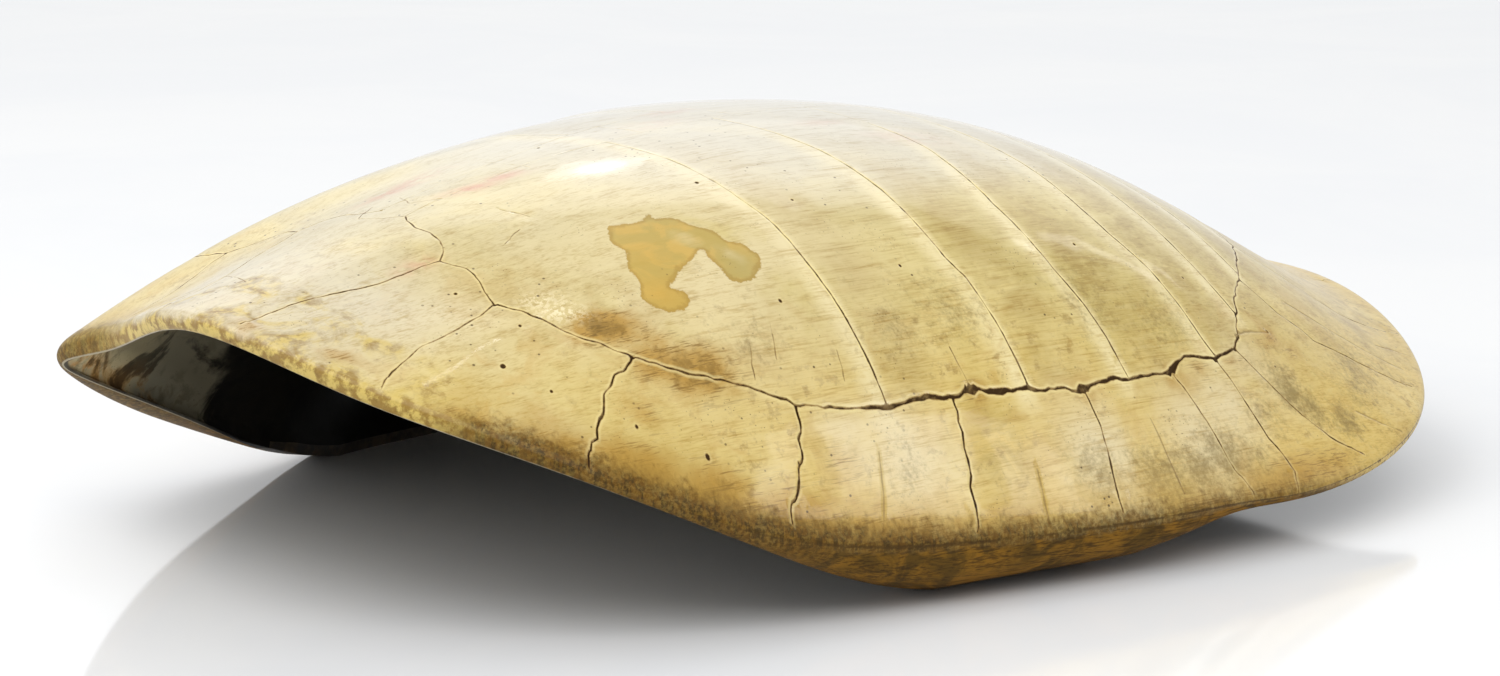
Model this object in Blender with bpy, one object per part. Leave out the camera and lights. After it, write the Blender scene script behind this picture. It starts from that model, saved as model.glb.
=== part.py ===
"""A sea turtle's carapace: the domed upper shell of bone plates, sawn from its underside.

One grown piece, in metres, +Z up. The head end points to -X, the tail to +X. The origin is on the
surface that the shell rests on, under the middle of its box. The shell rests on the sawn edges of its
two bridges, and its front and rear rims stand clear of the surface.
"""
import math

import bmesh
import bpy
import numpy as np
from mathutils.geometry import delaunay_2d_cdt

# ---------------------------------------------------------------- driving dimensions
LENGTH = 0.780                  # straight length, front rim to rear rim
WIDTH = 0.627                   # across the widest peripherals
HEIGHT = 0.2022                 # resting surface to crown
HALF_WIDTH = WIDTH / 2

CROWN_X = -0.0275 * LENGTH      # the highest point, a little ahead of the middle
CROWN_RADIUS_ALONG = 0.98       # how the crown curves from head to tail
CROWN_RADIUS_ACROSS = 0.54      # and from side to side

WALL_AT_MIDDLE = 0.0080         # bone thickness half way along
WALL_TAPER = 0.0155             # how much the wall thins for each metre towards the tail
WALL_LEAST = 0.0042

# Rim stations from the front midline, round one side, to the rear midline. Each gives the keel, where
# the dome ends: x as a share of LENGTH, y of HALF_WIDTH and height of HEIGHT; how steeply the dome
# meets the keel; and the cut edge below it: its height, and how far inward it lies.
RIM = (
    (-0.500, 0.000, 0.709, 1.23, 0.659, 0.015),     # front midline, over the neck
    (-0.478, 0.290, 0.607, 1.66, 0.551, 0.010),
    (-0.414, 0.533, 0.442, 2.40, 0.403, 0.010),     # over the front flipper
    (-0.313, 0.694, 0.251, 3.00, 0.212, 0.043),
    (-0.188, 0.804, 0.161, 2.94, 0.007, 0.160),     # bridge, where the flat sawn edge begins
    (-0.039, 0.920, 0.147, 2.48, -0.004, 0.225),    # towards its rear end
    (0.046, 0.964, 0.143, 2.22, 0.084, 0.200),
    (0.131, 0.995, 0.143, 1.96, 0.111, 0.048),      # widest
    (0.308, 0.890, 0.231, 1.47, 0.205, 0.018),      # over the rear flipper
    (0.450, 0.498, 0.396, 0.28, 0.370, 0.018),      # tail flange, nearly level
    (0.500, 0.000, 0.405, 0.14, 0.377, 0.018),      # rear midline
)

# Seams between the plates on one side, as shares of LENGTH and HALF_WIDTH. The other side mirrors them.
RING_SEAM = (                   # between the costal plates and the peripherals
    (-0.367, 0.312), (-0.347, 0.432), (-0.302, 0.546), (-0.255, 0.612), (-0.219, 0.654),
    (-0.159, 0.692), (-0.119, 0.716), (-0.067, 0.762), (-0.021, 0.787), (0.041, 0.811),
    (0.087, 0.816), (0.113, 0.811), (0.142, 0.766), (0.193, 0.687), (0.256, 0.568),
    (0.308, 0.399), (0.336, 0.191), (0.344, 0.000),
)
NUCHAL_SEAM = (                 # between the nuchal plate and the first costal
    (-0.336, 0.045), (-0.341, 0.082), (-0.345, 0.145), (-0.358, 0.180), (-0.355, 0.224),
    (-0.367, 0.312),
)
COSTAL_SEAMS = (                # each from the neural row out to the ring seam
    ((-0.158, 0.050), (-0.164, 0.255), (-0.172, 0.523), (-0.183, 0.680)),
    ((-0.058, 0.055), (-0.066, 0.430), (-0.070, 0.611), (-0.078, 0.754)),
    ((0.036, 0.058), (0.014, 0.436), (0.004, 0.646), (0.002, 0.798)),
    ((0.104, 0.058), (0.083, 0.556), (0.090, 0.679), (0.089, 0.815)),
    ((0.160, 0.056), (0.150, 0.380), (0.142, 0.673), (0.142, 0.766)),
    ((0.208, 0.054), (0.205, 0.300), (0.202, 0.520), (0.193, 0.687)),
    ((0.252, 0.050), (0.262, 0.260), (0.262, 0.420), (0.256, 0.568)),
    ((0.300, 0.045), (0.316, 0.180), (0.308, 0.399)),
)
PERIPHERAL_SEAMS = (            # each from the ring seam out to the keel
    ((-0.358, 0.180), (-0.404, 0.166), (-0.441, 0.129), (-0.492, 0.110)),
    ((-0.367, 0.312), (-0.424, 0.305), (-0.475, 0.335)),
    ((-0.326, 0.493), (-0.366, 0.527), (-0.400, 0.575)),
    ((-0.245, 0.633), (-0.268, 0.690), (-0.298, 0.722)),
    ((-0.135, 0.712), (-0.146, 0.765), (-0.166, 0.824)),
    ((-0.039, 0.784), (-0.049, 0.855), (-0.059, 0.905)),
    ((0.041, 0.813), (0.046, 0.884), (0.052, 0.967)),
    ((0.087, 0.816), (0.089, 0.921), (0.094, 0.985)),
    ((0.113, 0.811), (0.141, 0.921), (0.172, 0.974)),
    ((0.193, 0.687), (0.211, 0.782), (0.237, 0.815), (0.310, 0.880)),
    ((0.256, 0.568), (0.320, 0.690), (0.385, 0.720)),
    ((0.308, 0.399), (0.372, 0.452), (0.455, 0.480)),
    ((0.336, 0.191), (0.412, 0.170), (0.494, 0.185)),
)
NEURAL_EDGE = 0.050             # the neural row's edge, as a share of HALF_WIDTH
NEURAL_SEAMS = (-0.336, -0.228, -0.124, -0.036, 0.056, 0.122, 0.176, 0.224, 0.274)
SEAM_DEPTH = 0.0012
SEAM_HALF_WIDTH = 0.0028
SEAM_STEP = 0.030               # spacing of the points along a seam
SEAM_END = 0.985                # share of the way to the keel where the seams stop
SEAM_FADE = 0.06                # and the share over which they grow shallow before that

# Ridges on the inner face: the backbone along the midline, and one rib under each costal plate.
BACKBONE_HEIGHT = 0.008
BACKBONE_HALF_WIDTH = 0.020
BACKBONE_ENDS = (-0.34, 0.34)   # shares of LENGTH
BACKBONE_FADE = 0.05            # length over which each end rises
RIB_HEIGHT = 0.0045
RIB_HALF_WIDTH = 0.022
RIB_END = 0.86                  # share of the way from crown to keel
RIB_END_FADE = 0.15
RIB_ROOT = 0.02                 # distance from the midline where a rib starts
RIB_ROOT_FADE = 0.05

# The edge below the keel. DEEP is a cut that far below the keel: there it is the sawn bridge.
ROLL_FULLNESS = 0.75            # under 1 turns the roll under sooner
DEEP = 0.014
DEEP_RANGE = 0.010              # from DEEP to fully sawn
THIN_CUT_WIDTH = 0.0015
SAWN_CUT_WIDTH = 0.0120
THIN_CUT_LEAN = 0.15            # rise of the thin rim's cut face, as a share of its depth
SIDE_WIDTH = 0.0005             # the cut's inner side is close to upright
THIN_SIDE_RISE = 0.2            # as a share of the depth
SAWN_SIDE_RISE = 0.006
THINNING_START = 0.7            # share of the way to the keel where the wall starts to thin
EDGE_WALL_SHARE = 0.85          # its thickness at the keel, as a share of the depth

# ---------------------------------------------------------------- mesh density
RIM_COLUMNS = 104
ROLL_ROWS = 4                   # faces round the roll between keel and cut edge
INNER_RING = 0.90               # share of the way to the keel where the inner roll meets the inner dome
INNER_CORNER = 0.995
INNER_FREE_END = 0.86
INNER_SPACING = 0.020
INNER_ROLL_ROWS = 4
FILL_SPACING = 0.030            # spacing of the dome's free points
FILL_END = 0.80                 # share of the way to the keel where the rings of free points begin
FILL_RINGS = (0.85, 0.90, 0.94, 0.97)
SEAM_CLEARANCE = 0.012          # a free point keeps this far from a seam
RING_CLEARANCE = 0.006
MERGE_DISTANCE = 0.0004
INNER_MERGE_DISTANCE = 0.0001
NORMAL_STEP = 0.0005
RIM_SAMPLES = 1201
SHARP_ANGLE = math.radians(50)

BONE_COLOUR = (0.66, 0.56, 0.36, 1.0)
BONE_ROUGHNESS = 0.32


# ---------------------------------------------------------------- the dome as a formula
def closed_curve(values, place):
    """A smooth closed curve through values, read at place (0 is the first value, 1 the second)."""
    values = np.asarray(values, float)
    count = len(values)
    rows = 4 * np.eye(count) + np.roll(np.eye(count), 1, 0) + np.roll(np.eye(count), -1, 0)
    bends = np.linalg.solve(rows, 6 * (np.roll(values, 1) - 2 * values + np.roll(values, -1)))
    first = np.floor(place).astype(int) % count
    second = (first + 1) % count
    after = place - np.floor(place)
    before = 1 - after
    straight = before * values[first] + after * values[second]
    bend = (before ** 3 - before) * bends[first] + (after ** 3 - after) * bends[second]
    return straight + bend / 6


def rim_at(place):
    """Keel x, y, z, dome slope, cut height and reach at place, all round the shell."""
    scales = (LENGTH, HALF_WIDTH, HEIGHT, 1.0, HEIGHT, HALF_WIDTH)
    columns = []
    for index, scale in enumerate(scales):
        half = np.array([station[index] for station in RIM]) * scale
        sign = -1 if index == 1 else 1
        columns.append(closed_curve(np.concatenate([half, sign * half[-2:0:-1]]), place))
    columns[4] = np.maximum(columns[4], 0.0)        # sawn flat on the resting surface
    return columns


ROUND = 2 * (len(RIM) - 1)      # stations once round the rim


def rim_towards(x, y):
    """The rim's values in the direction of x, y from the crown."""
    place = np.linspace(0, ROUND, RIM_SAMPLES)
    rim_x, rim_y, *_ = rim_at(place)
    angles = np.unwrap(np.arctan2(rim_y, rim_x - CROWN_X))
    angle = np.arctan2(y, x - CROWN_X)
    return rim_at(np.interp(angle, angles[::-1], place[::-1]))


def dome_shape(x, y):
    """Height of the dome at x, y, and the share of the way from the crown to the keel."""
    rim_x, rim_y, rim_z, slope, _, _ = rim_towards(x, y)
    out_x, out_y = rim_x - CROWN_X, rim_y
    share = np.hypot(x - CROWN_X, y) / np.hypot(out_x, out_y)
    rise = HEIGHT - rim_z
    square = (out_x ** 2 / CROWN_RADIUS_ALONG + out_y ** 2 / CROWN_RADIUS_ACROSS) / (2 * rise)
    fourth = (6 - 4 * square - slope) / 2
    sixth = 1 - square - fourth
    drop = square * share ** 2 + fourth * share ** 4 + sixth * share ** 6
    return rim_z + rise * (1 - drop), share


def dome_normal(x, y):
    """Outward unit normal of the dome at x, y."""
    step = NORMAL_STEP
    along = (dome_shape(x + step, y)[0] - dome_shape(x - step, y)[0]) / (2 * step)
    across = (dome_shape(x, y + step)[0] - dome_shape(x, y - step)[0]) / (2 * step)
    normal = np.stack([-along, -across, np.ones_like(along)], axis=-1)
    return normal / np.linalg.norm(normal, axis=-1, keepdims=True)


# ---------------------------------------------------------------- seams
def seam_paths():
    """Every seam on both sides, as lists of plan points in metres."""
    sides = [RING_SEAM, NUCHAL_SEAM, *COSTAL_SEAMS, *PERIPHERAL_SEAMS]
    sides.append([(x, NEURAL_EDGE) for x in (NEURAL_SEAMS[0], *[s[0][0] for s in COSTAL_SEAMS])])
    size = np.array([LENGTH, HALF_WIDTH])
    paths = []
    for side in (1, -1):
        for seam in sides:
            paths.append(np.array(seam) * size * (1, side))
    for x in NEURAL_SEAMS:
        paths.append(np.array([(x, -NEURAL_EDGE), (x, NEURAL_EDGE)]) * size)
    return paths


def resampled(path, step):
    """The same path with points about one step apart."""
    lengths = np.concatenate([[0], np.cumsum(np.linalg.norm(np.diff(path, axis=0), axis=1))])
    count = max(1, round(lengths[-1] / step))
    stops = np.linspace(0, lengths[-1], count + 1)
    return np.stack([np.interp(stops, lengths, path[:, axis]) for axis in (0, 1)], axis=1)


def side_shifted(path, distance):
    """The path moved sideways."""
    ahead = np.gradient(path, axis=0)
    ahead /= np.linalg.norm(ahead, axis=1, keepdims=True)
    return path + distance * np.stack([-ahead[:, 1], ahead[:, 0]], axis=1)


def distance_to(points, paths):
    """Distance from each plan point to the nearest path."""
    nearest = np.full(len(points), np.inf)
    for path in paths:
        for start, end in zip(path[:-1], path[1:]):
            line = end - start
            share = np.clip((points - start) @ line / (line @ line), 0, 1)
            gap = np.linalg.norm(points - start - share[:, None] * line, axis=1)
            nearest = np.minimum(nearest, gap)
    return nearest


# ---------------------------------------------------------------- the solid
def dome_plan(rim_points, paths):
    """Plan points and triangles of the dome, with its seams as edges. The rim's points come first."""
    coords = [tuple(p) for p in rim_points]
    count = len(coords)
    edges = [(i, (i + 1) % count) for i in range(count)]
    for path in paths:
        for shift in (-SEAM_HALF_WIDTH, 0.0, SEAM_HALF_WIDTH):
            line = side_shifted(path, shift)
            inside = dome_shape(line[:, 0], line[:, 1])[1] < SEAM_END
            start = len(coords)
            coords += [tuple(p) for p in line[inside]]
            edges += [(i, i + 1) for i in range(start, len(coords) - 1)]
    for ring_share in FILL_RINGS:
        free = (CROWN_X, 0) + ring_share * (rim_points - (CROWN_X, 0))
        coords += [tuple(p) for p in free[distance_to(free, paths) > RING_CLEARANCE]]
    rows = np.arange(-HALF_WIDTH, HALF_WIDTH, FILL_SPACING * math.sqrt(3) / 2)
    for index, y in enumerate(rows):
        x = np.arange(-LENGTH / 2, LENGTH / 2, FILL_SPACING) + (index % 2) * FILL_SPACING / 2
        free = np.stack([x, np.full_like(x, y)], axis=1)
        share = dome_shape(free[:, 0], free[:, 1])[1]
        clear = (share < FILL_END) & (distance_to(free, paths) > SEAM_CLEARANCE)
        coords += [tuple(p) for p in free[clear]]
    inside_only = 1
    plan, _, faces, sources, _, _ = delaunay_2d_cdt(coords, edges, [], inside_only, MERGE_DISTANCE)
    rim_order = {}
    for index, source in enumerate(sources):
        for original in source:
            if original < count:
                rim_order[original] = index
    return np.array([tuple(p) for p in plan]), faces, [rim_order[i] for i in range(count)]


def inner_plan(ring_points):
    """Plan points and triangles of the inner face within a ring. The ring's points come first."""
    count = len(ring_points)
    coords = [tuple(p) for p in ring_points]
    edges = [(i, (i + 1) % count) for i in range(count)]
    rows = np.arange(-HALF_WIDTH, HALF_WIDTH, INNER_SPACING * math.sqrt(3) / 2)
    for index, y in enumerate(rows - rows[np.abs(rows).argmin()]):
        x = np.arange(-LENGTH / 2, LENGTH / 2, INNER_SPACING) + (index % 2) * INNER_SPACING / 2
        share = dome_shape(x, np.full_like(x, y))[1]
        coords += [(value, y) for value in x[share < INNER_FREE_END]]
    plan, _, faces, _, _, _ = delaunay_2d_cdt(coords, edges, [], 1, INNER_MERGE_DISTANCE)
    return np.array([tuple(p) for p in plan]), faces


def inner_relief(x, y, share):
    """How far the backbone and the ribs stand in from the inner face."""
    ends = [end * LENGTH for end in BACKBONE_ENDS]
    fade = np.clip(np.minimum(x - ends[0], ends[1] - x) / BACKBONE_FADE, 0, 1)
    backbone = BACKBONE_HEIGHT * fade * np.exp(-(y / BACKBONE_HALF_WIDTH) ** 2)
    fade = np.clip((RIB_END - share) / RIB_END_FADE, 0, 1)
    fade = fade * np.clip((np.abs(y) - RIB_ROOT) / RIB_ROOT_FADE, 0, 1)
    ribs = np.zeros_like(x)
    starts = [(NUCHAL_SEAM[0], NUCHAL_SEAM[-1])] + [(s[0], s[-1]) for s in COSTAL_SEAMS]
    for before, after in zip(starts[:-1], starts[1:]):
        root, tip = (np.add(before[i], after[i]) / 2 * (LENGTH, HALF_WIDTH) for i in (0, 1))
        middle = root[0] + (tip[0] - root[0]) * (np.abs(y) - root[1]) / (tip[1] - root[1])
        ribs = np.maximum(ribs, RIB_HEIGHT * fade * np.exp(-((x - middle) / RIB_HALF_WIDTH) ** 2))
    return np.maximum(backbone, ribs)


def wall_thickness(x):
    return np.maximum(WALL_AT_MIDDLE - WALL_TAPER * x, WALL_LEAST)


def inner_face(x, y):
    """Points of the inner face: the dome at one wall's thickness, which thins towards a thin rim."""
    _, _, rim_z, _, cut_z, _ = rim_towards(x, y)
    z, share = dome_shape(x, y)
    edge = np.clip((share - THINNING_START) / (1 - THINNING_START), 0, 1)
    wall = wall_thickness(x)
    wall = wall * (1 - edge) + np.minimum(wall, EDGE_WALL_SHARE * (rim_z - cut_z)) * edge
    wall = wall + inner_relief(x, y, share)
    return np.stack([x, y, z], axis=1) - dome_normal(x, y) * wall[:, None]


def build_carapace():
    """The whole shell as one closed mesh: dome, rolled edge, sawn edge and inner face."""
    place = np.arange(RIM_COLUMNS) * ROUND / RIM_COLUMNS
    rim_x, rim_y, rim_z, _, cut_z, reach = rim_at(place)
    keel = np.stack([rim_x, rim_y, rim_z], axis=1)
    radius = np.hypot(rim_x - CROWN_X, rim_y)
    inward = np.stack([-(rim_x - CROWN_X) / radius, -rim_y / radius], axis=1)

    mesh = bmesh.new()
    paths = [resampled(path, SEAM_STEP) for path in seam_paths()]
    plan, faces, rim_order = dome_plan(keel[:, :2], paths)
    height, share = dome_shape(plan[:, 0], plan[:, 1])
    fade = np.clip((SEAM_END - share) / SEAM_FADE, 0, 1)
    height -= SEAM_DEPTH * fade * np.clip(1 - distance_to(plan, paths) / SEAM_HALF_WIDTH, 0, 1)
    dome = [mesh.verts.new((x, y, z)) for (x, y), z in zip(plan, height)]
    for face in faces:
        mesh.faces.new([dome[i] for i in face])

    def ring(points):
        return [mesh.verts.new(p) for p in points]

    def bridge(upper, lower):
        for i in range(len(upper)):
            j = (i + 1) % len(upper)
            mesh.faces.new((upper[i], upper[j], lower[j], lower[i]))

    # The roll turns under from the keel like a quarter of an ellipse.
    upper = [dome[i] for i in rim_order]
    for row in range(1, ROLL_ROWS + 1):
        turn = row / ROLL_ROWS * math.pi / 2
        points = keel.copy()
        points[:, :2] += inward * (reach * (1 - math.cos(turn)))[:, None]
        points[:, 2] -= (rim_z - cut_z) * math.sin(turn) ** ROLL_FULLNESS
        lower = ring(points)
        bridge(upper, lower)
        upper = lower
    cut_outer = points

    # The cut face is level and wide where the bridge was sawn through, with an upright inner side. Along
    # the thin rim it is narrow and leans inward.
    depth = rim_z - cut_z
    sawn = np.clip((depth - DEEP) / DEEP_RANGE, 0, 1)
    cut_inner = cut_outer.copy()
    cut_width = THIN_CUT_WIDTH * (1 - sawn) + SAWN_CUT_WIDTH * sawn
    cut_inner[:, :2] += inward * cut_width[:, None]
    cut_inner[:, 2] += THIN_CUT_LEAN * depth * (1 - sawn)
    cut_side = cut_inner.copy()
    cut_side[:, :2] += inward * SIDE_WIDTH
    cut_side[:, 2] += THIN_SIDE_RISE * depth * (1 - sawn) + SAWN_SIDE_RISE * sawn
    for points in (cut_inner, cut_side):
        lower = ring(points)
        bridge(upper, lower)
        upper = lower

    # Inside, the face follows the roll back up to the dome, then the dome at one wall's thickness.
    def inner_ring(ring_share):
        return inner_face(CROWN_X + ring_share * (rim_x - CROWN_X), ring_share * rim_y)

    last_ring = inner_ring(INNER_RING)
    corner = inner_ring(INNER_CORNER)
    for row in range(1, INNER_ROLL_ROWS):
        t = row / INNER_ROLL_ROWS
        lower = ring((1 - t) ** 2 * cut_side + 2 * t * (1 - t) * corner + t * t * last_ring)
        bridge(upper, lower)
        upper = lower
    ring_plan = np.stack([CROWN_X + INNER_RING * (rim_x - CROWN_X), INNER_RING * rim_y], axis=1)
    plan, faces = inner_plan(ring_plan)
    inner = ring(inner_face(plan[:, 0], plan[:, 1]))
    bridge(upper, inner[:RIM_COLUMNS])
    for face in faces:
        mesh.faces.new([inner[i] for i in face])

    bmesh.ops.triangulate(mesh, faces=[f for f in mesh.faces if len(f.verts) > 3])
    bmesh.ops.recalc_face_normals(mesh, faces=mesh.faces)
    data = bpy.data.meshes.new("carapace")
    mesh.to_mesh(data)
    mesh.free()
    data.shade_smooth()
    data.set_sharp_from_angle(angle=SHARP_ANGLE)
    return data


def bone_material():
    material = bpy.data.materials.new("bone")
    material.use_nodes = True
    shader = material.node_tree.nodes["Principled BSDF"]
    shader.inputs["Base Color"].default_value = BONE_COLOUR
    shader.inputs["Roughness"].default_value = BONE_ROUGHNESS
    shader.inputs["Metallic"].default_value = 0.0
    return material


for item in list(bpy.data.objects):
    bpy.data.objects.remove(item, do_unlink=True)

carapace = bpy.data.objects.new("carapace", build_carapace())
carapace.data.materials.append(bone_material())
bpy.context.scene.collection.objects.link(carapace)
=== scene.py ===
"""The looks of a large turtle's carapace: one dome of grown-together bone plates on a pale glossy table.

The shell is one closed mesh. Its outline and dome come from a few rim stations, measured in shares of
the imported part's own box. The seams, cracks and pits are cut into the mesh as narrow grooves, and each
point carries how far it is from the nearest seam, the stain, the keel and the cut edge, so that the
bone's colours follow them. The head end points to -X, the tail to +X, and the left side faces -Y.
"""

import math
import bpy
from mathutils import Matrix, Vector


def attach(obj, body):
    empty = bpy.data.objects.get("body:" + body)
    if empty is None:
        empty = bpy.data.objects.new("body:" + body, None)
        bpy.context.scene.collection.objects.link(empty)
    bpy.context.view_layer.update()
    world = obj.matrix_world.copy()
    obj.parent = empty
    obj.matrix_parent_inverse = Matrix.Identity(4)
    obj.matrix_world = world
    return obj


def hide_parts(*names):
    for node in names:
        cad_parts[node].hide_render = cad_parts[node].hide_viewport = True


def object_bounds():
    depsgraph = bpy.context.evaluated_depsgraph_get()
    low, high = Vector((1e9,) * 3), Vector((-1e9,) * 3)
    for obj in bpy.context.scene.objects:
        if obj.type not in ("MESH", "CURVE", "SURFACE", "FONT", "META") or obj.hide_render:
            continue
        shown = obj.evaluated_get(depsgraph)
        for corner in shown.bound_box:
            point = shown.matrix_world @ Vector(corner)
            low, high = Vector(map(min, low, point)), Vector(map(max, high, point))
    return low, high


bl_info = {
    "name": "Turtle Shell Looks",
    "version": (1, 0, 0),
    "blender": (4, 5, 0),
    "location": "View3D > Sidebar > Turtle Shell",
    "description": "Builds a polished turtle carapace with its seams and stains, and its table and lights",
    "category": "Object",
}

import bpy
import numpy as np
from mathutils import Matrix, Quaternion, Vector
from mathutils.geometry import delaunay_2d_cdt
from mathutils.kdtree import KDTree

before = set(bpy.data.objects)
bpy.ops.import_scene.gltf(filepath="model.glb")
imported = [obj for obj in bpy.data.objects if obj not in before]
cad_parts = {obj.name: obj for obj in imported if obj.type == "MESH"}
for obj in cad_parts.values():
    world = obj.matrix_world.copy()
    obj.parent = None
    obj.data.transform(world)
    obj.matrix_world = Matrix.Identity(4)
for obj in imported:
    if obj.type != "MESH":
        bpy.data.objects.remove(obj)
CAD_BOX = [list(corner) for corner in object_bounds()]

MM = 0.001

# ---------------------------------------------------------------- the shell's measures
# Rim stations from the front midline, round one side, to the rear midline. Each gives the keel, where
# the dome ends: x as a share of LENGTH, y of HALF_WIDTH and height of HEIGHT; how steeply the dome
# meets the keel; and the cut edge below it: its height, and how far inward it lies.
RIM = (
    (-0.498, 0.000, 0.709, 1.23, 0.664, 0.015),     # front midline, over the neck
    (-0.478, 0.290, 0.607, 1.66, 0.564, 0.010),
    (-0.414, 0.533, 0.442, 2.40, 0.415, 0.010),     # over the front flipper
    (-0.313, 0.694, 0.251, 3.00, 0.206, 0.043),
    (-0.188, 0.804, 0.161, 2.94, 0.007, 0.160),     # bridge, where the flat sawn edge begins
    (-0.039, 0.920, 0.147, 2.48, -0.004, 0.225),    # towards its rear end
    (0.046, 0.964, 0.143, 2.22, 0.084, 0.200),
    (0.131, 0.995, 0.143, 1.96, 0.111, 0.048),      # widest
    (0.308, 0.890, 0.231, 1.47, 0.205, 0.018),      # over the rear flipper
    (0.450, 0.498, 0.396, 0.28, 0.370, 0.018),      # tail flange, nearly level
    (0.500, 0.000, 0.405, 0.14, 0.377, 0.018),      # rear midline
)
RIGHT_RIM = {                   # stations where the right side differs from the left
    1: (-0.447, 0.325, 0.586, 1.66, 0.530, 0.008),
    2: (-0.426, 0.520, 0.466, 2.40, 0.427, 0.022),
    3: (-0.297, 0.665, 0.216, 3.00, 0.177, 0.081),
    4: (-0.161, 0.718, 0.161, 2.94, 0.007, 0.044),
}
ROUND = 2 * (len(RIM) - 1)      # stations once round the rim
WIDEST_SHARE = 0.9949           # the rim curve's largest y, as a share of HALF_WIDTH

LENGTH = CAD_BOX[1][0] - CAD_BOX[0][0]
HALF_WIDTH = CAD_BOX[1][1] / WIDEST_SHARE
HEIGHT = CAD_BOX[1][2]
CROWN_X = -0.0275 * LENGTH
CROWN_RADIUS_ALONG = 1.256 * LENGTH
CROWN_RADIUS_ACROSS = 0.692 * LENGTH

WALL_AT_MIDDLE = 8.0 * MM
WALL_TAPER = 0.0155             # how much thinner the wall gets per metre to the rear
WALL_LEAST = 4.2 * MM
THINNING_START = 0.7            # share of the way out from the crown
EDGE_WALL_SHARE = 0.85          # of the edge's depth

# The edge: the roll under the keel, and the cut that ends it, broad where the edge is deep
ROLL_FULLNESS = 0.75
ROLL_EASE = 1.6                 # the keel's rounding fades out over the last 1 / 1.6 of the roll
DEEP = 14 * MM
DEEP_RANGE = 10 * MM
THIN_CUT_WIDTH = 1.5 * MM
SAWN_CUT_WIDTH = 12 * MM
THIN_CUT_LEAN = 0.02
THIN_SIDE_RISE = 0.06
SAWN_SIDE_RISE = 6 * MM
SIDE_WIDTH = 0.5 * MM

# The backbone and the ribs on the inner face
BACKBONE_HEIGHT = 8 * MM
BACKBONE_HALF_WIDTH = 20 * MM
BACKBONE_ENDS = (-0.34, 0.34)
BACKBONE_FADE = 50 * MM
RIB_HEIGHT = 4.5 * MM
RIB_HALF_WIDTH = 22 * MM
RIB_END = 0.86                  # share of the way out from the crown
RIB_FULL = 0.71
RIB_ROOT = 20 * MM
RIB_ROOT_FULL = 70 * MM

# Rim plates bulge between their seams: their start, and where the bulge is full, on the way out
RIM_PLATES_START = 0.78
RIM_PLATES_FULL = 0.86
SUNK_END = 0.97                 # beyond this nothing sinks towards a seam

# ---------------------------------------------------------------- seams, cracks and pits
# Places are in thousandths: x of LENGTH, and then of HALF_WIDTH, from the midline to the left side.
RING_SEAM = (
    (-367, 312), (-358, 355), (-347, 432), (-326, 493), (-302, 546), (-274, 585), (-255, 612),
    (-245, 632), (-219, 654), (-188, 680), (-159, 692), (-135, 712), (-119, 716), (-100, 737), (-67, 762),
    (-39, 784), (-21, 787), (20, 804), (41, 813), (61, 802), (87, 818), (113, 811), (127, 796),
    (142, 766), (160, 734), (193, 687), (256, 568), (308, 399), (336, 191), (344, 0),
)
NUCHAL_SEAM = (
    (-331, 35), (-337, 56), (-341, 82), (-341, 112), (-345, 145), (-350, 165), (-358, 180), (-361, 184),
    (-359, 198), (-355, 224), (-356, 245), (-363, 281), (-367, 312),
)
COSTAL_SEAMS = (
    ((-158, 50), (-161, 194), (-164, 255), (-168, 360), (-168, 420), (-172, 500), (-174, 562),
     (-178, 629), (-183, 680)),
    ((-58, 55), (-61, 296), (-66, 430), (-73, 574), (-70, 611), (-73, 691), (-78, 754)),
    ((36, 58), (24, 343), (14, 436), (7, 522), (5, 596), (4, 646), (6, 703), (5, 751), (2, 798)),
    ((104, 58), (88, 442), (83, 556), (83, 610), (90, 679), (90, 733), (88, 788), (89, 816)),
    ((160, 56), (150, 380), (143, 550), (142, 673), (143, 762)),
    ((208, 54), (205, 300), (202, 520), (193, 687)),
    ((252, 50), (262, 260), (262, 420), (256, 568)),
    ((300, 45), (316, 180), (308, 399)),
)
RIM_SEAMS = (                   # between neighbouring rim plates, thin ones
    ((-361, 184), (-371, 177), (-386, 173), (-404, 166), (-421, 149), (-441, 129), (-456, 118),
     (-477, 114), (-492, 110)),
    ((-367, 312), (-381, 317), (-401, 313), (-424, 305), (-440, 311), (-451, 315), (-465, 330),
     (-471, 331)),
    ((-39, 784), (-42, 822), (-49, 855), (-56, 884), (-59, 905)),
    ((41, 813), (44, 846), (46, 884), (45, 929), (52, 967)),
    ((87, 818), (89, 855), (89, 891), (89, 921), (93, 944), (94, 964), (87, 985)),
    ((113, 811), (124, 862), (131, 894), (141, 921), (153, 949), (172, 974)),
    ((187, 697), (198, 758), (211, 782), (216, 800), (237, 815), (300, 870)),
    ((256, 568), (320, 690), (385, 720)),
    ((308, 399), (372, 452), (455, 480)),
    ((336, 191), (412, 170), (494, 185)),
)
JAGGED_SEAMS = (                # between rim plates, wide and toothed
    ((-326, 493), (-350, 507), (-366, 527), (-382, 545), (-395, 566)),
    ((-245, 633), (-250, 652), (-259, 669), (-268, 690), (-278, 697), (-287, 713), (-298, 722)),
    ((-135, 712), (-140, 736), (-146, 765), (-153, 791), (-158, 808), (-166, 824)),
)
NEURAL_SEAMS = (                # the ridge's own row of plates, closed and faint
    ((-331, 35), (-313, 32), (-283, 33), (-222, 30), (-158, 50), (-58, 55), (36, 58), (104, 58),
     (160, 56), (208, 54), (252, 50), (300, 45), (340, 30)),
)
NEURAL_ENDS = (-228, -124, -36, 56, 122, 176, 224, 274)
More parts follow.
